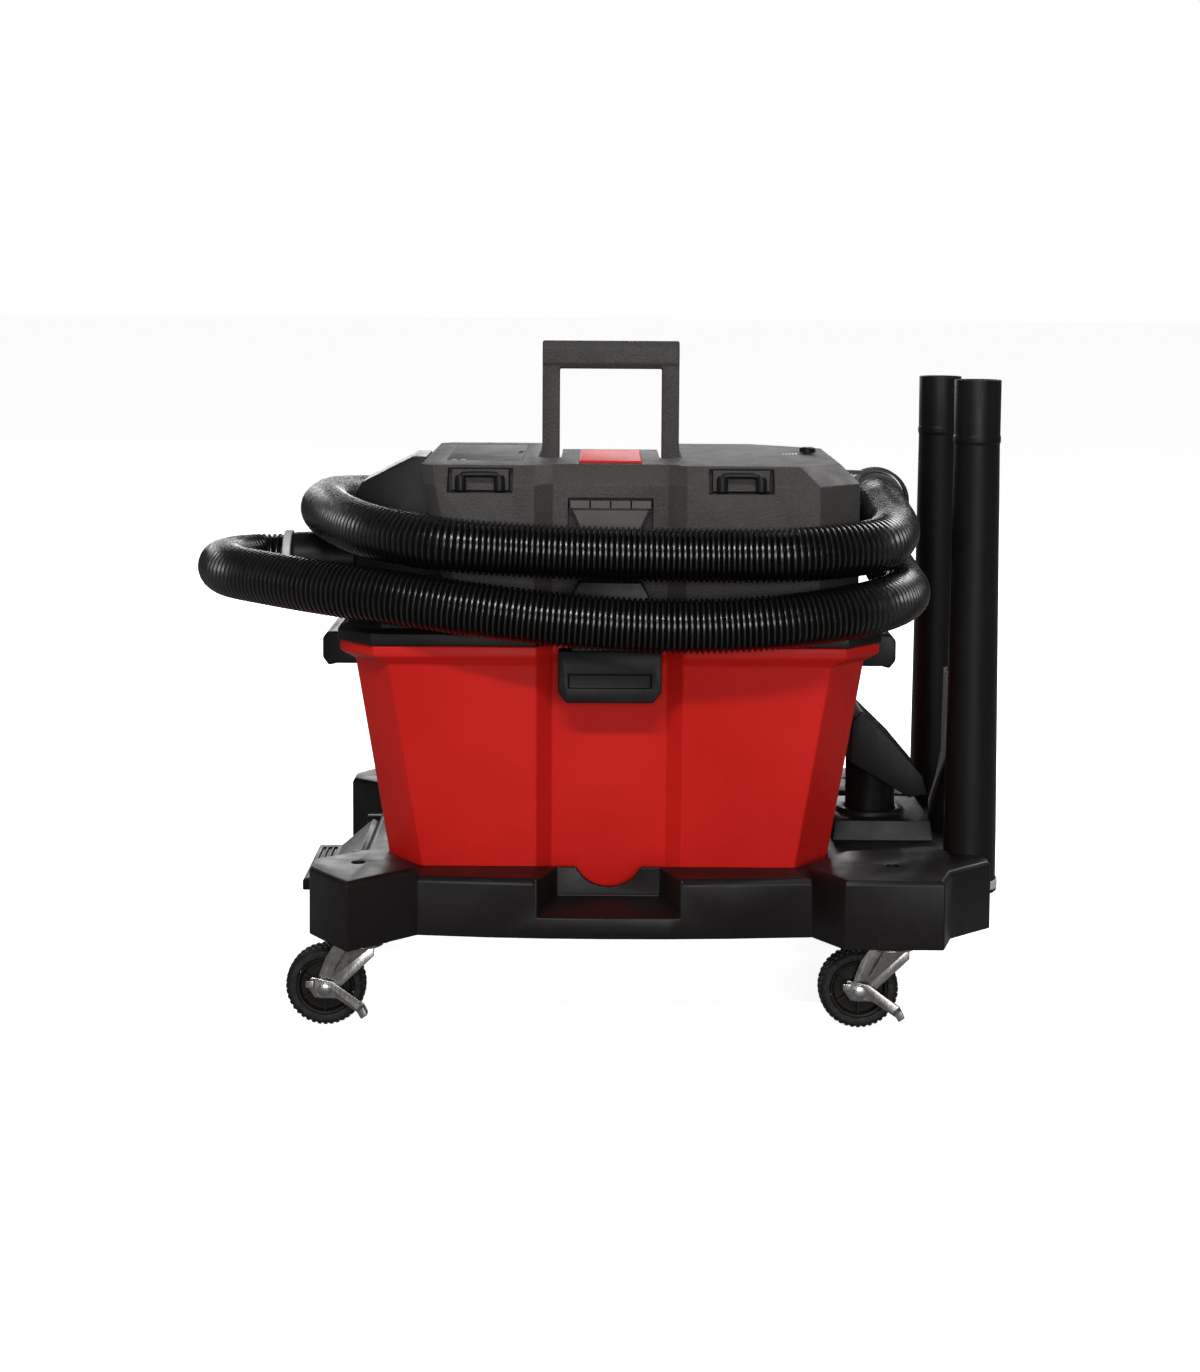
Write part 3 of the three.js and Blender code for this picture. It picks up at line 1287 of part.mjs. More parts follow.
function buildTank() {
  const group = new THREE.Group();
  group.add(piece("tank", "red", tank()));
  group.add(piece("tank_handle_left", "trim", tankHandle(-1)));
  group.add(piece("tank_handle_right", "trim", tankHandle(1)));
  return group;
}

function buildHead() {
  const head = new THREE.Group();
  head.add(piece("lid_base", "cart", lidBase()));
  head.add(piece("lid_gasket", "rubber", lidGasket()));
  head.add(piece("head_cover", "head", headCover()));
  head.add(piece("side_housing", "cart", sideHousing()));
  head.add(piece("carry_handle", "head", carryHandle()));
  const rod = pin("x", [-HANDLE_ROD_HALF, HANDLE_PIVOT_Y, HANDLE_PIVOT_Z], 2 * HANDLE_ROD_HALF);
  head.add(piece("handle_rod", "steel", rod));
  head.add(piece("strap_loop_left", "trim", strapLoop(-LOOP_X)));
  head.add(piece("strap_loop_right", "trim", strapLoop(LOOP_X)));
  head.add(piece("front_paddle", "trim", frontPaddle()));
  head.add(piece("top_badge", "red", topBadge()));
  head.add(piece("speed_dial", "trim", speedDial()));
  head.add(piece("retaining_strap", "rubber", retainingStrap()));
  head.add(piece("front_latch", "trim", latch(-1)));
  head.add(piece("rear_latch", "trim", latch(1)));
  head.add(piece("front_latch_pin", "steel", latchPin(-1)));
  head.add(piece("rear_latch_pin", "steel", latchPin(1)));
  head.add(piece("battery_bay", "cart", batteryBay()));
  head.add(piece("battery_1", "red", battery(BAY_FRONT + BAY_WALL + 3)));
  head.add(piece("battery_2", "red", battery((BAY_FRONT + BAY_BACK) / 2 + 2)));
  head.add(piece("battery_door", "head", batteryDoor()));
  head.add(piece("motor", "steel", motor()));
  head.add(piece("impeller", "steel", impeller()));
  head.add(piece("filter_cage", "cart", filterCage()));
  head.add(piece("filter_cartridge", "paper", filterCartridge()));
  head.add(piece("filter_nut", "trim", filterNut()));
  head.add(piece("hose", "hose", hose()));
  head.add(piece("inlet_cuff", "trim", inletCuff()));
  head.add(piece("tool_cuff", "head", toolCuff()));
  return head;
}

const vacuum = new THREE.Group();
vacuum.add(buildCart(), buildTank(), buildHead());
vacuum.position.x = -(PEDAL_OUT + WAND_X + WAND_RING_R) / 2;

export default vacuum;
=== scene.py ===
import json
import math

import bmesh
import bpy
import numpy as np
from mathutils import Matrix, Vector


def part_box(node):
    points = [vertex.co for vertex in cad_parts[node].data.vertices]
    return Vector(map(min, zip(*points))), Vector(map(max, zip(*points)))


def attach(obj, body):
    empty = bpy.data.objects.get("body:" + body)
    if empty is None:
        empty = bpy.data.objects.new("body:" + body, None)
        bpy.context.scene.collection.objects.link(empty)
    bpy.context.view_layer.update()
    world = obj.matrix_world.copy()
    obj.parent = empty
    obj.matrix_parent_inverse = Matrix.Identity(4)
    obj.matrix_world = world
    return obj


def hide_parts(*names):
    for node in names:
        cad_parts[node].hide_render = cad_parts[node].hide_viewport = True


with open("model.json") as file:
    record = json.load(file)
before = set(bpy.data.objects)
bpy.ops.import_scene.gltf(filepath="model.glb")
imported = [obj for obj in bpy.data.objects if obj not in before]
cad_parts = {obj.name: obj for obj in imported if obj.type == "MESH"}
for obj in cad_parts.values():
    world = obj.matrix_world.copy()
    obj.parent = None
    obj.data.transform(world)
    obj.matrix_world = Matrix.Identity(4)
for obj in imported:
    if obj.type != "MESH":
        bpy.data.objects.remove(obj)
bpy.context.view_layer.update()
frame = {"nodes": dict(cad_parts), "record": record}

# The looks of a battery shop vacuum round its CAD frame. Metres, +X right, +Y back, +Z up, floor at Z = 0.

BODY_OF = {node: body for body, nodes in frame["record"]["behaviour"]["bodies"].items() for node in nodes}
SLOT_OF = {part["node"]: part["material_slot"] for part in frame["record"]["subparts"]}
MM = 0.001
MERGE_DISTANCE = 0.05 * MM  # corners nearer than this are one corner
FLAT_DEGREES = 1  # facets that meet at less than this are one face


# ---- Mesh helpers -------------------------------------------------------------------------------------


def centre_of(node):
    """The middle of a CAD node's box."""
    low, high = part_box(node)
    return (low + high) / 2


def finished(name, bm, like, material=None, replaces=()):
    """A bmesh as a named piece, with the body and slot of the CAD node named by like."""
    mesh = bpy.data.meshes.new(name)
    bmesh.ops.recalc_face_normals(bm, faces=bm.faces)
    bm.to_mesh(mesh)
    bm.free()
    piece = bpy.data.objects.new(name, mesh)
    bpy.context.scene.collection.objects.link(piece)
    mesh.materials.append(material or MATERIALS[SLOT_OF[like]])
    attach(piece, BODY_OF[like])
    if replaces:
        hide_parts(*replaces)
    return piece


def smooth(piece, angle=35):
    """Smooth shading, with the edges over an angle in degrees kept crisp."""
    for face in piece.data.polygons:
        face.use_smooth = True
    piece.data.set_sharp_from_angle(angle=math.radians(angle))
    return piece


def soften(piece, width, limit=28, segments=2):
    """Rounds the edges that turn by more than limit degrees."""
    for face in piece.data.polygons:
        face.use_smooth = True
    bevel = piece.modifiers.new("edges", "BEVEL")
    bevel.width = width
    bevel.segments = segments
    bevel.limit_method = "ANGLE"
    bevel.angle_limit = math.radians(limit)
    bevel.use_clamp_overlap = False
    bevel.harden_normals = True
    return piece


def moulded(node, width=1.2 * MM, limit=28, segments=2):
    """A CAD node's own shape with its flat facets joined and its edges rounded."""
    bm = bmesh.new()
    bm.from_mesh(frame["nodes"][node].data)
    bmesh.ops.remove_doubles(bm, verts=bm.verts, dist=MERGE_DISTANCE)
    bmesh.ops.dissolve_limit(bm, angle_limit=math.radians(FLAT_DEGREES), verts=bm.verts, edges=bm.edges)
    piece = finished(node + "_moulding", bm, node, replaces=[node])
    return soften(piece, width, limit, segments)


def rounded(profile, radius, steps=3):
    """A closed list of 2-D points with each corner rounded to a radius, as far as its sides allow."""
    points = [Vector(p) for p in profile]
    made = []
    for i, corner in enumerate(points):
        before = points[i - 1] - corner
        after = points[(i + 1) % len(points)] - corner
        reach = min(radius, before.length * 0.45, after.length * 0.45)
        start = corner + before.normalized() * reach
        end = corner + after.normalized() * reach
        for step in range(steps + 1):
            t = step / steps
            made.append(tuple(start * (1 - t) ** 2 + corner * 2 * t * (1 - t) + end * t * t))
    return made


def turned_frame(centre, axis):
    """The matrix that carries a shape turned about Z to a centre, with its axis along x, y or z."""
    turns = {
        "x": Matrix.Rotation(math.pi / 2, 4, "Y"),
        "y": Matrix.Rotation(-math.pi / 2, 4, "X"),
        "z": Matrix(),
    }
    return Matrix.Translation(centre) @ turns[axis]


def lathe(bm, profile, placing, segments=48):
    """Adds a turned body. profile is a closed loop of radius and height, or starts and ends at radius 0."""
    on_axis = profile[0][0] < 1e-9 and profile[-1][0] < 1e-9
    rings = []
    for radius, height in profile:
        if radius < 1e-9:
            rings.append([bm.verts.new(placing @ Vector((0, 0, height)))] * segments)
            continue
        turns = [2 * math.pi * i / segments for i in range(segments)]
        rings.append([
            bm.verts.new(placing @ Vector((radius * math.cos(turn), radius * math.sin(turn), height)))
            for turn in turns
        ])
    pairs = list(zip(rings, rings[1:]))
    if not on_axis:
        pairs.append((rings[-1], rings[0]))
    for lower, upper in pairs:
        for i in range(segments):
            j = (i + 1) % segments
            corners = dict.fromkeys([lower[i], lower[j], upper[j], upper[i]])
            if len(corners) > 2:
                bm.faces.new(corners)


def prism(bm, outline, axis, start, end, draft=0.0, placing=Matrix()):
    """Adds an outline of 2-D points pushed along an axis. draft is the share by which the end is drawn in."""
    middle = Vector((sum(p[0] for p in outline), sum(p[1] for p in outline))) / len(outline)
    rings = []
    for place, share in ((start, 0.0), (end, draft)):
        ring = []
        for a, b in outline:
            a, b = Vector((a, b)) + (middle - Vector((a, b))) * share
            point = {"x": (place, a, b), "y": (a, place, b), "z": (a, b, place)}[axis]
            ring.append(bm.verts.new(placing @ Vector(point)))
        rings.append(ring)
    bm.faces.new(rings[0])
    bm.faces.new(rings[1])
    for i in range(len(outline)):
        j = (i + 1) % len(outline)
        bm.faces.new((rings[0][i], rings[0][j], rings[1][j], rings[1][i]))


def rectangle(a0, a1, b0, b1):
    """The corners of a rectangle between two values of each coordinate."""
    return [(a0, b0), (a1, b0), (a1, b1), (a0, b1)]


def sweep(bm, path, section, side):
    """Adds a section of 2-D points swept along a path. side is where the section's first number points."""
    rings = []
    for i, point in enumerate(path):
        ahead = (path[min(i + 1, len(path) - 1)] - path[max(i - 1, 0)]).normalized()
        across = (side - ahead * side.dot(ahead)).normalized()
        out = ahead.cross(across)
        rings.append([bm.verts.new(point + across * a + out * b) for a, b in section])
    for lower, upper in zip(rings, rings[1:]):
        for i in range(len(section)):
            j = (i + 1) % len(section)
            bm.faces.new((lower[i], lower[j], upper[j], upper[i]))
    bm.faces.new(rings[0])
    bm.faces.new(rings[-1])


def rod(radius, start, end):
    """The profile of a plain rod, for lathe."""
    return [(0, start), (radius, start), (radius, end), (0, end)]


def circle(radius, sides):
    """The corners of a regular outline about the origin."""
    turns = [2 * math.pi * i / sides for i in range(sides)]
    return [(radius * math.cos(turn), radius * math.sin(turn)) for turn in turns]


def curve_through(points, spacing):
    """Points at an even spacing on the centripetal Catmull-Rom curve through the given points."""
    p = np.array(points, float)
    p = np.vstack([2 * p[0] - p[1], p, 2 * p[-1] - p[-2]])
    dense = []
    for p0, p1, p2, p3 in zip(p, p[1:], p[2:], p[3:]):
        d0, d1, d2 = (np.linalg.norm(b - a) ** 0.5 for a, b in ((p0, p1), (p1, p2), (p2, p3)))
        slope1 = ((p1 - p0) / d0 - (p2 - p0) / (d0 + d1) + (p2 - p1) / d1) * d1
        slope2 = ((p2 - p1) / d1 - (p3 - p1) / (d1 + d2) + (p3 - p2) / d2) * d1
        t = np.linspace(0, 1, 60, endpoint=False)[:, None]
        cubic = (2 * p1 - 2 * p2 + slope1 + slope2) * t**3
        dense.append(cubic + (3 * p2 - 3 * p1 - 2 * slope1 - slope2) * t**2 + slope1 * t + p1)
    dense = np.vstack(dense + [p[-2:-1]])
    along = np.concatenate([[0], np.cumsum(np.linalg.norm(np.diff(dense, axis=0), axis=1))])
    count = int(round(along[-1] / spacing))
    places = np.linspace(0, along[-1], count + 1)
    return np.stack([np.interp(places, along, dense[:, k]) for k in range(3)], axis=1)


# ---- Materials ----------------------------------------------------------------------------------------


def srgb(red, green, blue):
    """A colour of 0 to 255 values as linear light."""
    channels = [v / 255 for v in (red, green, blue)]
    return [v / 12.92 if v <= 0.04045 else ((v + 0.055) / 1.055) ** 2.4 for v in channels] + [1.0]


class Finish:
    """A Principled material with short helpers for its procedural detail."""

    def __init__(self, name, metallic=0.0, specular=0.5):
        self.material = bpy.data.materials.new(name)
        self.material.use_nodes = True
        self.tree = self.material.node_tree
        self.shader = self.tree.nodes["Principled BSDF"]
        self.shader.inputs["Metallic"].default_value = metallic
        self.shader.inputs["Specular IOR Level"].default_value = specular
        self.place = self.tree.nodes.new("ShaderNodeTexCoord").outputs["Object"]

    def node(self, kind, **settings):
        made = self.tree.nodes.new("ShaderNode" + kind)
        for key, value in settings.items():
            setattr(made, key, value)
        return made

    def link(self, source, target):
        self.tree.links.new(source, target)

    def noise(self, size, detail=2.0, stretch=(1, 1, 1)):
        """Noise from 0 to 1 whose features are about size across."""
        mapping = self.node("Mapping")
        mapping.inputs["Scale"].default_value = stretch
        self.link(self.place, mapping.inputs["Vector"])
        made = self.node("TexNoise")
        made.inputs["Scale"].default_value = 1 / size
        made.inputs["Detail"].default_value = detail
        self.link(mapping.outputs["Vector"], made.inputs["Vector"])
        return made.outputs["Fac"]

    def cells(self, size):
        """Distance to the nearest of a field of points about size apart."""
        made = self.node("TexVoronoi")
        made.inputs["Scale"].default_value = 1 / size
        self.link(self.place, made.inputs["Vector"])
        return made

    def ranged(self, value, low, high, start=0.3, end=0.7):
        made = self.node("MapRange")
        for key, number in (("From Min", start), ("From Max", end), ("To Min", low), ("To Max", high)):
            made.inputs[key].default_value = number
        self.link(value, made.inputs["Value"])
        return made.outputs["Result"]

    def mixed(self, share, first, second):
        made = self.node("Mix", data_type="RGBA")
        self.link(share, made.inputs["Factor"])
        for socket, colour in ((made.inputs["A"], first), (made.inputs["B"], second)):
            if hasattr(colour, "is_output"):
                self.link(colour, socket)
            else:
                socket.default_value = colour
        return made.outputs["Result"]

    def colour(self, output):
        self.link(output, self.shader.inputs["Base Color"])

    def roughness(self, output):
        self.link(output, self.shader.inputs["Roughness"])

    def bump(self, *layers):
        """Stacks bump layers, each a height from 0 to 1 and its depth in metres."""
        normal = None
        for height, depth in layers:
            made = self.node("Bump")
            made.inputs["Strength"].default_value = 1.0
            made.inputs["Distance"].default_value = depth
            self.link(height, made.inputs["Height"])
            if normal:
                self.link(normal, made.inputs["Normal"])
            normal = made.outputs["Normal"]
        self.link(normal, self.shader.inputs["Normal"])


def grained_plastic(name, dark, light, roughness, grain, depth, specular, scuff=0.0, pit_shade=0.0):
    """Textured plastic: a leathery grain with painted shade darkening the grain's pits, and rubbed patches
    with scuff.
    """
    finish = Finish(name, specular=specular)
    drift = finish.ranged(finish.noise(0.09, 3), 0, 1)
    tone = finish.mixed(drift, srgb(*dark), srgb(*light))
    if scuff:
        rubbed = finish.ranged(finish.noise(0.006, 6, stretch=(1, 1, 0.35)), 0, scuff, 0.62, 0.74)
        tone = finish.mixed(rubbed, tone, srgb(*[min(255, v * 1.5 + 12) for v in light]))
    creases = finish.noise(grain, 4)
    # painted shade: the low spots of the creases bump are coloured darker, as if shaded
    if pit_shade:
        shaded_pits = finish.ranged(creases, pit_shade, 0, 0.38, 0.62)
        tone = finish.mixed(shaded_pits, tone, srgb(*[v * 0.55 for v in dark]))
    finish.colour(tone)
    finish.roughness(finish.ranged(finish.noise(0.02, 4), roughness - 0.06, roughness + 0.06))
    pebble = finish.cells(grain).outputs["Distance"]
    finish.bump((finish.noise(0.05, 1), depth * 2), (pebble, depth * 0.6), (creases, depth))
    return finish.material


def smooth_plastic(name, dark, light, roughness, ripple=0.02 * MM, specular=0.5):
    """Smooth moulded plastic with a faint ripple and a few fine rubs."""
    finish = Finish(name, specular=specular)
    drift = finish.ranged(finish.noise(0.12, 3), 0, 1)
    finish.colour(finish.mixed(drift, srgb(*dark), srgb(*light)))
    rubs = finish.noise(0.004, 5, stretch=(1, 1, 0.15))
    finish.roughness(finish.ranged(rubs, roughness - 0.04, roughness + 0.1))
    finish.bump((finish.noise(0.02, 2), ripple), (finish.noise(0.0007, 2), ripple * 0.4))
    return finish.material


def sheet_metal(name, dark, light, roughness, spangle, depth):
    """Plated steel with a crystal pattern in its brightness and a few rubs."""
    finish = Finish(name, metallic=1.0)
    crystal = finish.cells(spangle).outputs["Color"]
    share = finish.node("SeparateColor")
    finish.link(crystal, share.inputs["Color"])
    patch = finish.mixed(share.outputs["Red"], srgb(*dark), srgb(*light))
    grime = finish.ranged(finish.noise(0.012, 3), 0, 0.4, 0.5, 0.8)
    finish.colour(finish.mixed(grime, patch, srgb(70, 66, 62)))
    brushing = finish.noise(0.0011, 3, stretch=(1, 1, 0.12))
    finish.roughness(finish.ranged(brushing, roughness - 0.06, roughness + 0.14))
    finish.bump((finish.noise(0.02, 2), depth), (brushing, depth * 0.12))
    return finish.material


def rubber(name, dark, light, roughness):
    """Black rubber with dust in its low spots."""
    finish = Finish(name, specular=0.35)
    dust = finish.ranged(finish.noise(0.004, 6), 0, 1, 0.45, 0.75)
    finish.colour(finish.mixed(dust, srgb(*dark), srgb(*light)))
    finish.roughness(finish.ranged(finish.noise(0.01, 4), roughness - 0.08, roughness + 0.08))
    finish.bump((finish.noise(0.0009, 3), 0.08 * MM))
    return finish.material


def filter_paper(name):
    """Pleated paper with fibres along its height."""
    finish = Finish(name, specular=0.1)
    fibres = finish.noise(0.0012, 6, stretch=(1, 1, 0.3))
    finish.colour(finish.mixed(fibres, srgb(196, 188, 170), srgb(232, 227, 214)))
    finish.roughness(finish.ranged(fibres, 0.85, 0.98))
    finish.bump((fibres, 0.12 * MM))
    return finish.material


def all_materials():
    """One finish for each material slot of the record."""
    return {
        "tank_red": smooth_plastic("tank_red", (182, 25, 20), (194, 31, 25), 0.4, specular=0.13),
        "badge_red": smooth_plastic("badge_red", (190, 24, 20), (204, 30, 26), 0.5, specular=0.15),
        "cart_black": grained_plastic(
            "cart_black", (14, 12, 11), (20, 17, 16), 0.42, 0.9 * MM, 0.06 * MM, 0.2, scuff=0.2
        ),
        # the head's grain carries painted shade in its pits
        "head_grey": grained_plastic(
            "head_grey", (60, 57, 56), (71, 68, 67), 0.62, 1.9 * MM, 0.5 * MM, 0.25, pit_shade=0.4
        ),
        "trim_black": grained_plastic(
            "trim_black", (13, 12, 11), (20, 18, 17), 0.42, 0.7 * MM, 0.05 * MM, 0.18
        ),
        "tool_black": smooth_plastic(
            "tool_black", (11, 10, 9), (16, 14, 13), 0.42, ripple=0.03 * MM, specular=0.18
        ),
        "hose_black": smooth_plastic("hose_black", (8, 7, 6), (12, 10, 9), 0.25, ripple=0.004 * MM),
        "strap_rubber": rubber("strap_rubber", (24, 22, 21), (44, 41, 39), 0.5),
        "tyre_rubber": rubber("tyre_rubber", (15, 14, 13), (42, 39, 36), 0.72),
        "wheel_black": grained_plastic(
            "wheel_black", (14, 12, 11), (24, 22, 20), 0.5, 0.8 * MM, 0.05 * MM, 0.2, scuff=0.25
        ),
        "zinc": sheet_metal("zinc", (148, 146, 143), (166, 164, 160), 0.26, 0.004, 0.06 * MM),
        "steel": sheet_metal("steel", (140, 140, 142), (176, 176, 178), 0.26, 0.012, 0.02 * MM),
        "filter_paper": filter_paper("filter_paper"),
        "battery_black": grained_plastic(
            "battery_black", (22, 20, 20), (32, 29, 29), 0.5, 0.8 * MM, 0.06 * MM, 0.25
        ),
    }


MATERIALS = all_materials()
RING_GREY = smooth_plastic("ring_grey", (176, 176, 174), (194, 194, 192), 0.42)
MARK_WHITE = smooth_plastic("mark_white", (196, 195, 192), (214, 213, 210), 0.5)
PANEL_GREY = grained_plastic("panel_grey", (70, 67, 66), (80, 77, 76), 0.5, 0.9 * MM, 0.06 * MM, 0.25)


# ---- Camera and hose ----------------------------------------------------------------------------------

FRAME_HEIGHT = 1372  # the image's longer side, which the sensor's width spans
FOCAL_LENGTH = 2395.0  # in the same units as FRAME_HEIGHT
SENSOR_WIDTH = 36.0
CAMERA_PLACE = (-0.0474, -2.4466, 0.713)
CAMERA_PITCH = math.radians(4.83)
CAMERA_ROLL = math.radians(0.35)
CAMERA_SHIFT = -0.15


def aim_camera():
    """The camera at the photograph's place: a little above the grip and looking a little down."""
    camera = bpy.data.objects.new("camera", bpy.data.cameras.new("camera"))
    bpy.context.scene.collection.objects.link(camera)
    camera.location = CAMERA_PLACE
    turn = Matrix.Rotation(math.pi / 2 - CAMERA_PITCH, 4, "X") @ Matrix.Rotation(CAMERA_ROLL, 4, "Z")
    camera.rotation_euler = turn.to_euler()
    camera.data.sensor_width = SENSOR_WIDTH
    camera.data.lens = FOCAL_LENGTH / FRAME_HEIGHT * SENSOR_WIDTH
    camera.data.shift_y = CAMERA_SHIFT
    bpy.context.scene.camera = camera


aim_camera()

HOSE_DIAMETER = 0.0515
HOSE_PITCH = 0.0053
HOSE_SIDES = 28
HOSE_PROFILE = [0, 0.12 * MM, 1.9 * MM, 3.4 * MM, 1.9 * MM, 0.12 * MM]  # each ring's depth, over one pitch
HOSE_ROUTE = [
    (-0.3715, 0.007, 0.423),
    (-0.383, 0.007, 0.423),
    (-0.399, 0.002, 0.423),
    (-0.417, -0.019, 0.4235),
    (-0.424, -0.060, 0.424),
    (-0.409, -0.105, 0.423),
    (-0.369, -0.143, 0.421),
    (-0.307, -0.184, 0.417),
    (-0.238, -0.213, 0.412),
    (-0.157, -0.230, 0.403),
    (-0.086, -0.237, 0.396),
    (-0.007, -0.239, 0.391),
    (0.063, -0.238, 0.391),
    (0.139, -0.231, 0.396),
    (0.210, -0.201, 0.404),
    (0.247, -0.138, 0.408),
    (0.252, -0.063, 0.411),
    (0.253, 0.010, 0.416),
    (0.250, 0.080, 0.421),
    (0.225, 0.145, 0.429),
    (0.176, 0.193, 0.439),
    (0.103, 0.211, 0.449),
    (0.003, 0.210, 0.458),
    (-0.097, 0.209, 0.461),
    (-0.187, 0.208, 0.464),
    (-0.262, 0.177, 0.469),
    (-0.306, 0.115, 0.475),
    (-0.324, 0.040, 0.480),
    (-0.324, -0.035, 0.479),
    (-0.301, -0.108, 0.475),
    (-0.259, -0.172, 0.469),
    (-0.200, -0.206, 0.463),
    (-0.117, -0.206, 0.457),
    (-0.027, -0.206, 0.454),
    (0.063, -0.206, 0.453),
    (0.145, -0.208, 0.455),
    (0.215, -0.177, 0.460),
    (0.240, -0.116, 0.467),
    (0.241, -0.063, 0.475),
    (0.2393, -0.025, 0.482),
    (0.239, -0.003, 0.484),
    (0.239, 0.017, 0.484),
]


def hose_rings(path):
    """The corrugated tube's points, ring by ring, with frames carried along the path without twist."""
    ahead = np.gradient(path, axis=0)
    ahead /= np.linalg.norm(ahead, axis=1)[:, None]
    across = np.cross(ahead[0], (0, 0, 1.0))
    turns = np.linspace(0, 2 * np.pi, HOSE_SIDES, endpoint=False)
    rings = []
    for i, (point, direction) in enumerate(zip(path, ahead)):
        across = across - direction * across.dot(direction)
        across /= np.linalg.norm(across)
        up = np.cross(across, direction)
        radius = HOSE_DIAMETER / 2 - HOSE_PROFILE[i % len(HOSE_PROFILE)]
        rings.append(point + radius * (np.outer(np.cos(turns), across) + np.outer(np.sin(turns), up)))
    return np.array(rings)


def mesh_of_rings(name, rings):
    """A tube of quads through rings of points, closed with a flat face at both ends."""
    count, sides = rings.shape[:2]
    index = np.arange(count * sides).reshape(count, sides)
    here, beside = index[:-1], np.roll(index, -1, axis=1)[:-1]
    above, above_beside = index[1:], np.roll(index, -1, axis=1)[1:]
    quads = np.stack([here, beside, above_beside, above], axis=-1).reshape(-1, 4)
    mesh = bpy.data.meshes.new(name)
    ends = [index[0][::-1].tolist(), index[-1].tolist()]
    mesh.from_pydata(rings.reshape(-1, 3).tolist(), [], quads.tolist() + ends)
    mesh.update()
    return mesh


def make_hose():
    """The corrugated hose on its route round the head."""
    path = curve_through(HOSE_ROUTE, HOSE_PITCH / len(HOSE_PROFILE))
    bm = bmesh.new()
    bm.from_mesh(mesh_of_rings("hose_rings", hose_rings(path)))
    return smooth(finished("hose_corrugated", bm, "hose", replaces=["hose"]), angle=40)


def turned_pieces(node, placing, parts, fillet, segments, steps=3, crisp=35):
    """Turned pieces that take a CAD node's place. parts lists each one's name, profile in mm and material."""
    pieces = []
    for name, profile, material in parts:
        bm = bmesh.new()
        outline = rounded([(radius * MM, along * MM) for radius, along in profile], fillet, steps)
        lathe(bm, outline, placing, segments)
        replaced = [] if pieces else [node]
        pieces.append(smooth(finished(name, bm, node, material, replaces=replaced), crisp))
    return pieces


def make_inlet_cuff():
    """The sleeve that plugs the hose into the inlet, and its pale ring."""
    low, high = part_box("inlet_cuff")
    centre = centre_of("inlet_cuff")
    end = (high.x - low.x) / MM
    sleeve = [(22.0, 8.3), (26.4, 8.3), (27.6, 12), (28, 30), (28, 50), (27.2, 56), (27.6, end), (22.0, end)]
    ring = [(22.5, 0), (28.8, 0), (29.8, 1.2), (29.8, 7.2), (29, 8.2), (22.5, 8.2)]
    parts = [("inlet_sleeve", sleeve, None), ("inlet_ring", ring, RING_GREY)]
    placing = turned_frame(Vector((low.x, centre.y, centre.z)), "x")
    return turned_pieces("inlet_cuff", placing, parts, 0.8 * MM, 56)


def make_tool_cuff():
    """The tool end of the hose: a ribbed sleeve, a pale ring and a tapered nose."""
    low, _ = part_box("tool_cuff")
    centre = centre_of("tool_cuff")
    sleeve = [(19, 0), (28.2, 0), (29, 2), (29.6, 12), (28.6, 14)]
    sleeve += [(29.8, 24), (29, 27), (30, 37.6), (19, 37.6)]
    ring = [(20, 37.8), (30.2, 37.8), (31, 39), (31, 45.6), (30.2, 46.8), (20, 46.8)]
    nose = [(19, 47), (26.8, 47), (27, 49), (25.8, 74), (24.9, 80), (24.5, 108.5), (23.8, 109.7), (19, 109.7)]
    parts = [
        ("tool_cuff_sleeve", sleeve, None),
        ("tool_cuff_ring", ring, RING_GREY),
        ("tool_cuff_nose", nose, None),
    ]
    placing = turned_frame(Vector((centre.x, low.y, centre.z)), "y")
    return turned_pieces("tool_cuff", placing, parts, 0.7 * MM, 56)


hose = make_hose()
make_inlet_cuff() + make_tool_cuff()


# ---- Stage --------------------------------------------------------------------------------------------


FLOOR_RADIUS = 40
FLOOR_THICKNESS = 0.02
FLOOR_GAP = 0.0005  # keeps the floor just under the tyres
STUDIO_LEVEL = 0.13  # the white room as the object sees it, while the camera sees it at 1
AIM = (0, 0, 0.35)
LIGHTS = [
    # name, place, width and height, power
    ("key", (-0.4, -2.6, 2.5), (1.5, 0.16), 60),
    ("front", (0.3, -4.2, 1.0), (2.2, 0.9), 76),
    ("right", (3.2, -1.0, 1.3), (1.0, 1.6), 4),
    ("left", (-3.4, -1.2, 1.2), (1.0, 1.6), 4),
    ("top", (1.7, 1.9, 2.6), (1.6, 1.6), 85),
    ("back", (-0.8, 4.4, 1.4), (3.0, 1.2), 60),
]


def make_floor():
    """A plain disc that the camera sees as white, and that throws only a little light on the object."""
    edge = [(0, 0), (FLOOR_RADIUS, 0), (FLOOR_RADIUS, -FLOOR_THICKNESS), (0, -FLOOR_THICKNESS)]
    bm = bmesh.new()
    lathe(bm, edge, Matrix.Translation((0, 0, -FLOOR_GAP)), 64)
    mesh = bpy.data.meshes.new("floor")
    bm.to_mesh(mesh)
    bm.free()
    floor = bpy.data.objects.new("floor", mesh)
    bpy.context.scene.collection.objects.link(floor)
    finish = Finish("floor_white", specular=0.2)
    seen = finish.node("LightPath").outputs["Is Camera Ray"]
    white = finish.mixed(finish.noise(0.4, 2), srgb(244, 244, 243), srgb(250, 250, 249))
    finish.colour(finish.mixed(seen, srgb(120, 119, 118), white))
    finish.roughness(finish.ranged(finish.noise(0.1, 2), 0.7, 0.8))
    finish.shader.inputs["Emission Color"].default_value = (1.0, 1.0, 1.0, 1.0)
    finish.link(finish.ranged(seen, 0.1, 0.85, 0, 1), finish.shader.inputs["Emission Strength"])
    mesh.materials.append(finish.material)


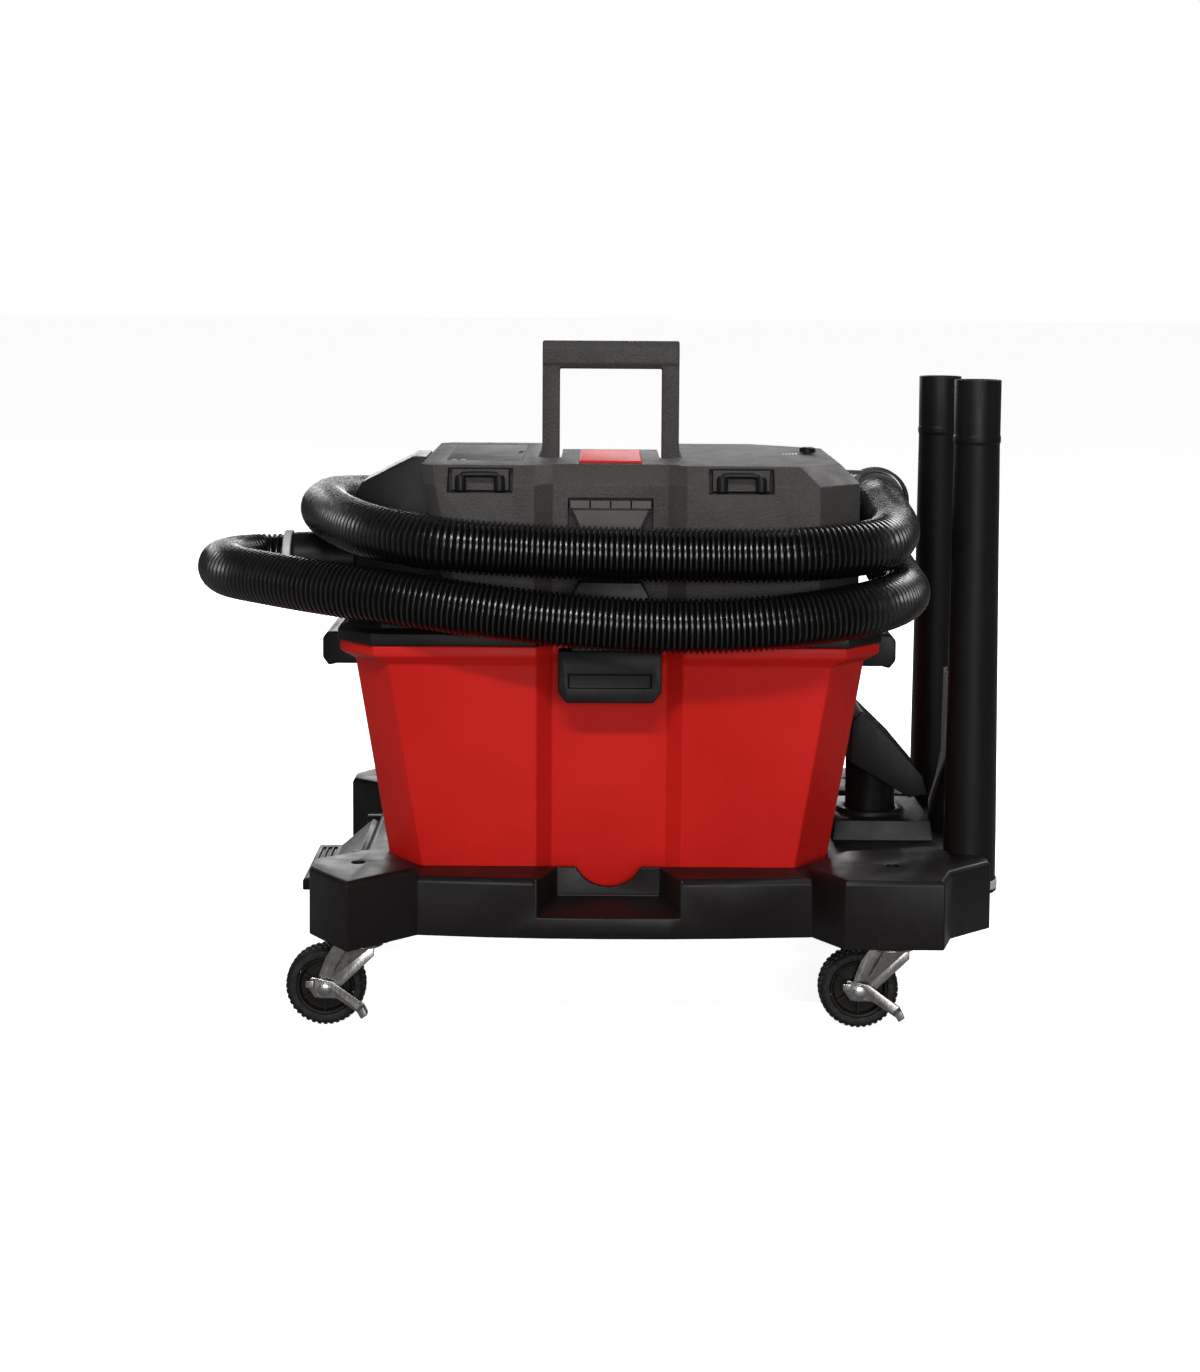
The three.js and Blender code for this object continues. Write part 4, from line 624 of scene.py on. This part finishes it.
def area_light(name, place, size, power):
    """A soft rectangular light that points at the object. size is its width and height in metres."""
    data = bpy.data.lights.new(name, "AREA")
    data.shape = "RECTANGLE"
    data.size, data.size_y = size
    data.energy = power
    light = bpy.data.objects.new(name, data)
    light.location = place
    light.rotation_euler = (Vector(AIM) - Vector(place)).to_track_quat("-Z", "Y").to_euler()
    bpy.context.scene.collection.objects.link(light)


def light_studio():
    """A white room with a narrow strip above the front, a low light in front and strong light from behind."""
    world = bpy.data.worlds.new("studio")
    world.use_nodes = True
    bpy.context.scene.world = world
    nodes, links = world.node_tree.nodes, world.node_tree.links
    seen = nodes.new("ShaderNodeLightPath").outputs["Is Camera Ray"]
    level = nodes.new("ShaderNodeMapRange")
    level.inputs["To Min"].default_value = STUDIO_LEVEL
    level.inputs["To Max"].default_value = 1.0
    links.new(seen, level.inputs["Value"])
    links.new(level.outputs["Result"], nodes["Background"].inputs["Strength"])
    nodes["Background"].inputs["Color"].default_value = (1.0, 1.0, 1.0, 1.0)
    for name, place, size, power in LIGHTS:
        area_light(name, place, size, power)


make_floor()
light_studio()
bpy.context.scene.view_settings.view_transform = "Standard"


# ---- Cart and casters ---------------------------------------------------------------------------------

LABELS = ("fl", "fr", "rl", "rr")
TREAD_ROWS = 4
TREAD_BLOCKS = 40
WHEEL_RIBS = 6


def make_tyre(label):
    """A tyre with a rounded tread that carries rows of small blocks."""
    node = "caster_tyre_" + label
    low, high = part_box(node)
    centre = centre_of(node)
    placing = turned_frame(Vector((centre.x, low.y, centre.z)), "y")
    radius, width = high.z - centre.z, high.y - low.y
    tread = radius - 1.3 * MM
    profile = [(27.4 * MM, 0.4 * MM), (33 * MM, 0), (tread - 2 * MM, 2.2 * MM), (tread, 6 * MM)]
    profile += [(r, width - y) for r, y in reversed(profile)]
    bm = bmesh.new()
    lathe(bm, rounded(profile, 2 * MM), placing, 64)
    for row in range(TREAD_ROWS):
        y = width * (row + 1) / (TREAD_ROWS + 1)
        crown = radius if 0 < row < TREAD_ROWS - 1 else radius - 0.5 * MM
        block = rectangle(-2 * MM, 2 * MM, y - 1.7 * MM, y + 1.7 * MM)
        for i in range(TREAD_BLOCKS):
            turn = Matrix.Rotation(2 * math.pi * (i + 0.5 * (row % 2)) / TREAD_BLOCKS, 4, "Z")
            prism(bm, block, "x", tread - 0.8 * MM, crown, draft=0.25, placing=placing @ turn)
    smooth(finished("tyre_tread_" + label, bm, node, replaces=[node]), 40)


def make_wheel(label):
    """A dished wheel with a hub and ribs on each face."""
    node = "caster_wheel_" + label
    centre = centre_of(node)
    half = [(4.3, -13.6), (10, -13.6), (11, -6), (23.5, -5), (24.8, -11.6), (27, -12)]
    profile = half + [(radius, -along) for radius, along in reversed(half)]
    bm = bmesh.new()
    outline = rounded([(radius * MM, along * MM) for radius, along in profile], 0.8 * MM)
    lathe(bm, outline, turned_frame(centre, "y"), 56)
    rib = rectangle(-1.2 * MM, 1.2 * MM, 9.8 * MM, 24.2 * MM)
    for i in range(WHEEL_RIBS):
        placing = Matrix.Translation(centre) @ Matrix.Rotation(2 * math.pi * i / WHEEL_RIBS, 4, "Y")
        for side in (-1, 1):
            prism(bm, rib, "y", side * 4.6 * MM, side * 9.5 * MM, draft=0.1, placing=placing)
    smooth(finished("wheel_rim_" + label, bm, node, replaces=[node]), 30)


def make_axle(label):
    """The axle bolt with a domed head in front and a hexagonal nut behind."""
    node = "caster_axle_" + label
    low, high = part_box(node)
    centre = centre_of(node)
    placing = turned_frame(Vector((centre.x, low.y, centre.z)), "y")
    length = high.y - low.y
    bm = bmesh.new()
    lathe(bm, rod(3.9 * MM, 1 * MM, length - 0.2 * MM), placing, 24)
    head = [(0, 0), (3.2 * MM, 0), (6.2 * MM, 1.1 * MM), (6.4 * MM, 3.2 * MM), (0, 3.2 * MM)]
    lathe(bm, head, placing, 32)
    lathe(bm, rod(6.6 * MM, length - 4.8 * MM, length - 1 * MM), placing, 6)
    soften(finished("axle_bolt_" + label, bm, node, replaces=[node]), 0.4 * MM)


def make_fork(label):
    """The pressed fork, with a crease down each cheek and the raceway's rolled rim."""
    node = "caster_fork_" + label
    moulded(node, 0.9 * MM, limit=32)
    low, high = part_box(node)
    kingpin = centre_of("caster_plate_" + label)
    bm = bmesh.new()
    for face in (low.y, high.y):
        top = Vector((kingpin.x - 8 * MM, face, high.z - 3 * MM))
        foot = Vector((kingpin.x - 22 * MM, face, 52 * MM))
        sweep(bm, [top, foot], circle(1.1 * MM, 8), Vector((0, 1, 0)))
    placing = turned_frame(Vector((kingpin.x, kingpin.y, 0)), "z")
    rim = [(19.5, 76.6), (23.6, 76.8), (24.4, 78.2), (23.6, 79.6), (19.5, 79.8)]
    lathe(bm, rounded([(r * MM, z * MM) for r, z in rim], 0.7 * MM), placing, 40)
    smooth(finished("fork_press_" + label, bm, node), 40)


def make_plate(label):
    """The mounting plate with its upper raceway and four bolt heads."""
    node = "caster_plate_" + label
    moulded(node, 0.8 * MM, limit=32)
    centre = centre_of(node)
    bm = bmesh.new()
    placing = turned_frame(Vector((centre.x, centre.y, 0)), "z")
    race = [(18, 80.5), (22, 80.5), (25.6, 83.5), (25.6, 86.5), (18, 86.5)]
    lathe(bm, rounded([(r * MM, z * MM) for r, z in race], 0.8 * MM), placing, 48)
    for dx in (-26, 26):
        for dy in (-20, 20):
            spot = turned_frame(Vector((centre.x + dx * MM, centre.y + dy * MM, 0)), "z")
            lathe(bm, rod(4.4 * MM, 84 * MM, 87.2 * MM), spot, 6)
    smooth(finished("plate_race_" + label, bm, node), 40)


def make_casters():
    """Four casters, with side brake levers on the front two."""
    for label in LABELS:
        make_tyre(label)
        make_wheel(label)
        make_axle(label)
        make_fork(label)
        make_plate(label)
    for label in ("fl", "fr"):
        moulded("brake_lever_" + label, 0.8 * MM)


def make_cart():
    """The cart, its foot pedal and the step's lip."""
    moulded("cart_base", 1.4 * MM)
    moulded("release_pedal")
    moulded("pedal_pin", 0.5 * MM)
    make_step_lip()


def make_step_lip():
    """The raised lip along the back and both sides of the moulded step."""
    low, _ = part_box("cart_base")
    middle = centre_of("tank").x
    wide, narrow = 67 * MM, 49.4 * MM
    front, back = low.y + 51 * MM, low.y + 99.5 * MM
    tread, dip = low.z + 29.5 * MM, low.z + 20.5 * MM
    path = [
        Vector((middle - wide, front, dip)),
        Vector((middle - narrow, back, tread)),
        Vector((middle + narrow, back, tread)),
        Vector((middle + wide, front, dip)),
    ]
    bm = bmesh.new()
    for start, end in zip(path, path[1:]):
        sweep(bm, [start, end], circle(1.5 * MM, 12), Vector((0, 0, 1)))
    smooth(finished("step_lip", bm, "cart_base"), 50)


# ---- Tank ---------------------------------------------------------------------------------------------


def make_tank():
    """The tank, with its shallow facets kept as soft edges, and its two handles."""
    moulded("tank", 1.6 * MM, limit=14, segments=3)
    for side in ("left", "right"):
        moulded("tank_handle_" + side, 1.8 * MM, segments=3)


# ---- Lid and head -------------------------------------------------------------------------------------


PADDLE_PANELS = 4
DIAL_RIBS = 16
LOUVRE_BLADES = 6


def make_loop(side):
    """A strap loop: two thick posts joined by a bar, with the pads that fix them in their recess."""
    node = "strap_loop_" + side
    low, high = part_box(node)
    middle = centre_of(node).x
    depth = low.y + 4.4 * MM
    bm = bmesh.new()
    for x in (low.x + 5.4 * MM, high.x - 5.4 * MM):
        post = [(0, low.z), (5.2 * MM, low.z), (5.2 * MM, high.z - 7 * MM)]
        post += [(4.2 * MM, high.z - 4 * MM), (0, high.z - 3 * MM)]
        lathe(bm, post, Matrix.Translation((x, depth, 0)), 32)
        pad = rectangle(x - 3.5 * MM, x + 3.5 * MM, low.z + 1 * MM, low.z + 10 * MM)
        prism(bm, pad, "y", depth, high.y)
    panel = rectangle(low.x - 4 * MM, high.x + 4 * MM, low.z - 1 * MM, high.z + 1.4 * MM)
    back = bmesh.new()
    prism(back, panel, "y", high.y - 2.4 * MM, depth + 6 * MM, draft=0.03)
    soften(finished(node + "_panel", back, "head_cover"), 0.6 * MM)
    inner = high.x - middle - 5.4 * MM
    bar = [(-1, -7), (-0.86, -3.4), (-0.55, -3), (0.55, -3), (0.86, -3.4), (1, -7)]
    path = [Vector((middle + share * inner, depth, high.z + z * MM)) for share, z in bar]
    sweep(bm, path, circle(3 * MM, 20), Vector((0, 1, 0)))
    smooth(finished(node + "_arch", bm, node, replaces=[node]), 40)


def make_paddle():
    """The lever pad: a trapezoid with a raised rim under a row of four small panels."""
    node = "front_paddle"
    low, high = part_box(node)
    middle = centre_of(node).x
    half = high.x - middle
    row = high.z - 8.5 * MM
    face = low.y + 2.2 * MM
    bm = bmesh.new()
    upper, lower = half - 2.5 * MM, half - 11 * MM
    outline = [(-upper, row), (upper, row), (lower, low.z), (-lower, low.z)]
    flap = [(middle + x, z) for x, z in rounded(outline, 1.5 * MM)]
    prism(bm, flap, "y", face, high.y)
    rim = [Vector((x, face, z)) for x, z in flap]
    for start, end in zip(rim, rim[1:] + rim[:1]):
        sweep(bm, [start, end], circle(0.9 * MM, 8), Vector((0, 1, 0)))
    width = 2 * half / PADDLE_PANELS
    for i in range(PADDLE_PANELS):
        x = low.x + i * width
        panel = rectangle(x + 0.35 * MM, x + width - 0.35 * MM, row + 0.8 * MM, high.z)
        prism(bm, panel, "y", high.y, low.y + 1.1 * MM, draft=0.03)
    soften(finished("paddle_flap", bm, node, PANEL_GREY, replaces=[node]), 0.35 * MM)


def make_dial():
    """A small ribbed knob on its shaft, with a pointer."""
    node = "speed_dial"
    _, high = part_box(node)
    centre = centre_of(node)
    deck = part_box("battery_door")[1].z
    radius = high.x - centre.x
    bm = bmesh.new()
    placing = Matrix.Translation((centre.x, centre.y, 0))
    knob = [(0, deck + 1.4 * MM), (radius - 1.6 * MM, deck + 1.4 * MM), (radius - 1.9 * MM, high.z - 1 * MM)]
    lathe(bm, knob + [(radius - 3 * MM, high.z), (0, high.z)], placing, 40)
    lathe(bm, rod(4 * MM, deck - 8 * MM, deck + 2 * MM), placing, 24)
    rib = rectangle(radius - 2.4 * MM, radius - 0.8 * MM, -0.6 * MM, 0.6 * MM)
    for i in range(DIAL_RIBS):
        turn = Matrix.Rotation(2 * math.pi * i / DIAL_RIBS, 4, "Z")
        prism(bm, rib, "z", deck + 1.6 * MM, high.z - 1 * MM, placing=placing @ turn)
    smooth(finished("dial_knob", bm, node, replaces=[node]), 30)
    bm = bmesh.new()
    pointer = rectangle(centre.x - 0.5 * MM, centre.x + 0.5 * MM, centre.y - radius + 3 * MM, centre.y)
    prism(bm, pointer, "z", high.z - 0.3 * MM, high.z + 0.15 * MM)
    finished("dial_pointer", bm, node, MARK_WHITE)


def make_marks():
    """Plain printed marks on the head's top: a rising scale beside the dial, and two bars on the left."""
    door_low, door_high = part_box("battery_door")
    bottom, top = door_high.z - 0.3 * MM, door_high.z + 0.15 * MM
    dial = centre_of("speed_dial")
    bm = bmesh.new()
    for i in range(5):
        x = dial.x - (26 - 3.4 * i) * MM
        y = dial.y - 8 * MM
        prism(bm, rectangle(x, x + 1.6 * MM, y, y + (4 + 2.4 * i) * MM), "z", bottom, top)
    for i in range(2):
        x = door_low.x + (5 + 9 * i) * MM
        prism(bm, rectangle(x, x + 5 * MM, door_low.y + 6 * MM, door_low.y + 9 * MM), "z", bottom, top)
    finished("printed_marks", bm, "head_cover", MARK_WHITE)


def make_retaining_strap():
    """The rubber strap over the tool cuff: a band with two raised ribs."""
    node = "retaining_strap"
    low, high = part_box(node)
    centre = centre_of("tool_cuff")
    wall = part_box("head_cover")[1].x
    y = (low.y + high.y) / 2
    reach = 32.2 * MM
    path = [Vector((wall + 3 * MM, y, centre.z + 29 * MM))]
    for degrees in range(118, -64, -7):
        angle = math.radians(degrees)
        path.append(Vector((centre.x + reach * math.cos(angle), y, centre.z + reach * math.sin(angle))))
    path.append(Vector((wall + 5 * MM, y, centre.z - 37 * MM)))
    section = [(-9, -1), (-9, 1), (-8, 2.2), (-4, 2.2), (-3, 1), (3, 1), (4, 2.2), (8, 2.2), (9, 1), (9, -1)]
    bm = bmesh.new()
    sweep(bm, path, [(a * MM, b * MM) for a, b in section], Vector((0, 1, 0)))
    smooth(finished("strap_band", bm, node, replaces=[node]), 50)


def make_louvres():
    """Two exhaust panels on the back of the head, each a plate with a row of slanted blades."""
    low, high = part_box("head_cover")
    back = high.y
    root, lip = back - 0.5 * MM, back + 1.9 * MM
    bm = bmesh.new()
    for side in (-1, 1):
        middle = centre_of("rear_latch").x + side * 112 * MM
        plate = rectangle(middle - 34 * MM, middle + 34 * MM, low.z + 72 * MM, low.z + 108 * MM)
        prism(bm, rounded(plate, 4 * MM), "y", back - 0.6 * MM, back + 0.7 * MM, draft=0.01)
        for i in range(LOUVRE_BLADES):
            z = low.z + (76 + 5.2 * i) * MM
            blade = [(root, z), (lip, z), (lip, z + 1 * MM), (root, z + 3.6 * MM)]
            prism(bm, blade, "x", middle - 30 * MM, middle + 30 * MM)
    soften(finished("exhaust_louvres", bm, "head_cover", MATERIALS["trim_black"]), 0.3 * MM)


def make_head():
    """The lid and everything that rides on it or is latched to it."""
    moulded("lid_base", 1.3 * MM, limit=26)
    moulded("lid_gasket", 0.5 * MM)
    moulded("head_cover", 1.1 * MM, limit=24, segments=3)
    moulded("side_housing", 1.4 * MM, limit=26, segments=3)
    moulded("carry_handle", 1.6 * MM, segments=3)
    moulded("top_badge", 0.6 * MM)
    moulded("handle_rod", 0.4 * MM)
    moulded("battery_door", 0.8 * MM)
    for node in ("front_latch", "rear_latch"):
        moulded(node, 1.3 * MM, segments=3)
        moulded(node + "_pin", 0.4 * MM)
    for side in ("left", "right"):
        make_loop(side)
    make_paddle()
    make_dial()
    make_marks()
    make_retaining_strap()
    make_louvres()


def make_inside():
    """The pieces inside the lid, which show when the door or the tank is open."""
    moulded("battery_bay", 1 * MM)
    for node in ("battery_1", "battery_2"):
        moulded(node, 1.5 * MM)
    moulded("motor", 0.8 * MM)
    moulded("impeller", 0.4 * MM)
    moulded("filter_cage", 0.8 * MM)
    moulded("filter_cartridge", 0.5 * MM)
    moulded("filter_nut", 0.8 * MM)


# ---- Stored tools -------------------------------------------------------------------------------------


def make_wand(node):
    """A tapered wand: a wider foot with a pale ring, and a collar at the top."""
    low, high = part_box(node)
    centre = centre_of(node)
    top = (high.z - low.z) / MM
    tube = [(20.5, 0), (25.8, 0), (27, 1.6), (27, 3.4), (26.2, 3.8), (26.2, 12.6), (26.6, 13.4), (25.6, 14.6)]
    tube += [(25.5, 60), (22, top - 62), (22.9, top - 60), (22.9, top - 55), (22.3, top - 53)]
    tube += [(22.5, top), (19.5, top), (19.3, top - 60)]
    ring = [(25.4, 4), (27.2, 4), (27.4, 5), (27.4, 11.4), (27.2, 12.4), (25.4, 12.4)]
    parts = [(node + "_tube", tube, None), (node + "_ring", ring, RING_GREY)]
    placing = turned_frame(Vector((centre.x, centre.y, low.z)), "z")
    turned_pieces(node, placing, parts, 0.6 * MM, 64, steps=2, crisp=40)


def make_tools():
    """The wands and tools that stand in the cart's sockets."""
    make_wand("wand_front")
    make_wand("wand_rear")
    moulded("crevice_tool", 0.8 * MM, limit=30)
    moulded("utility_nozzle", segments=3)


make_casters()
make_cart()
make_tank()
make_head()
make_inside()
make_tools()
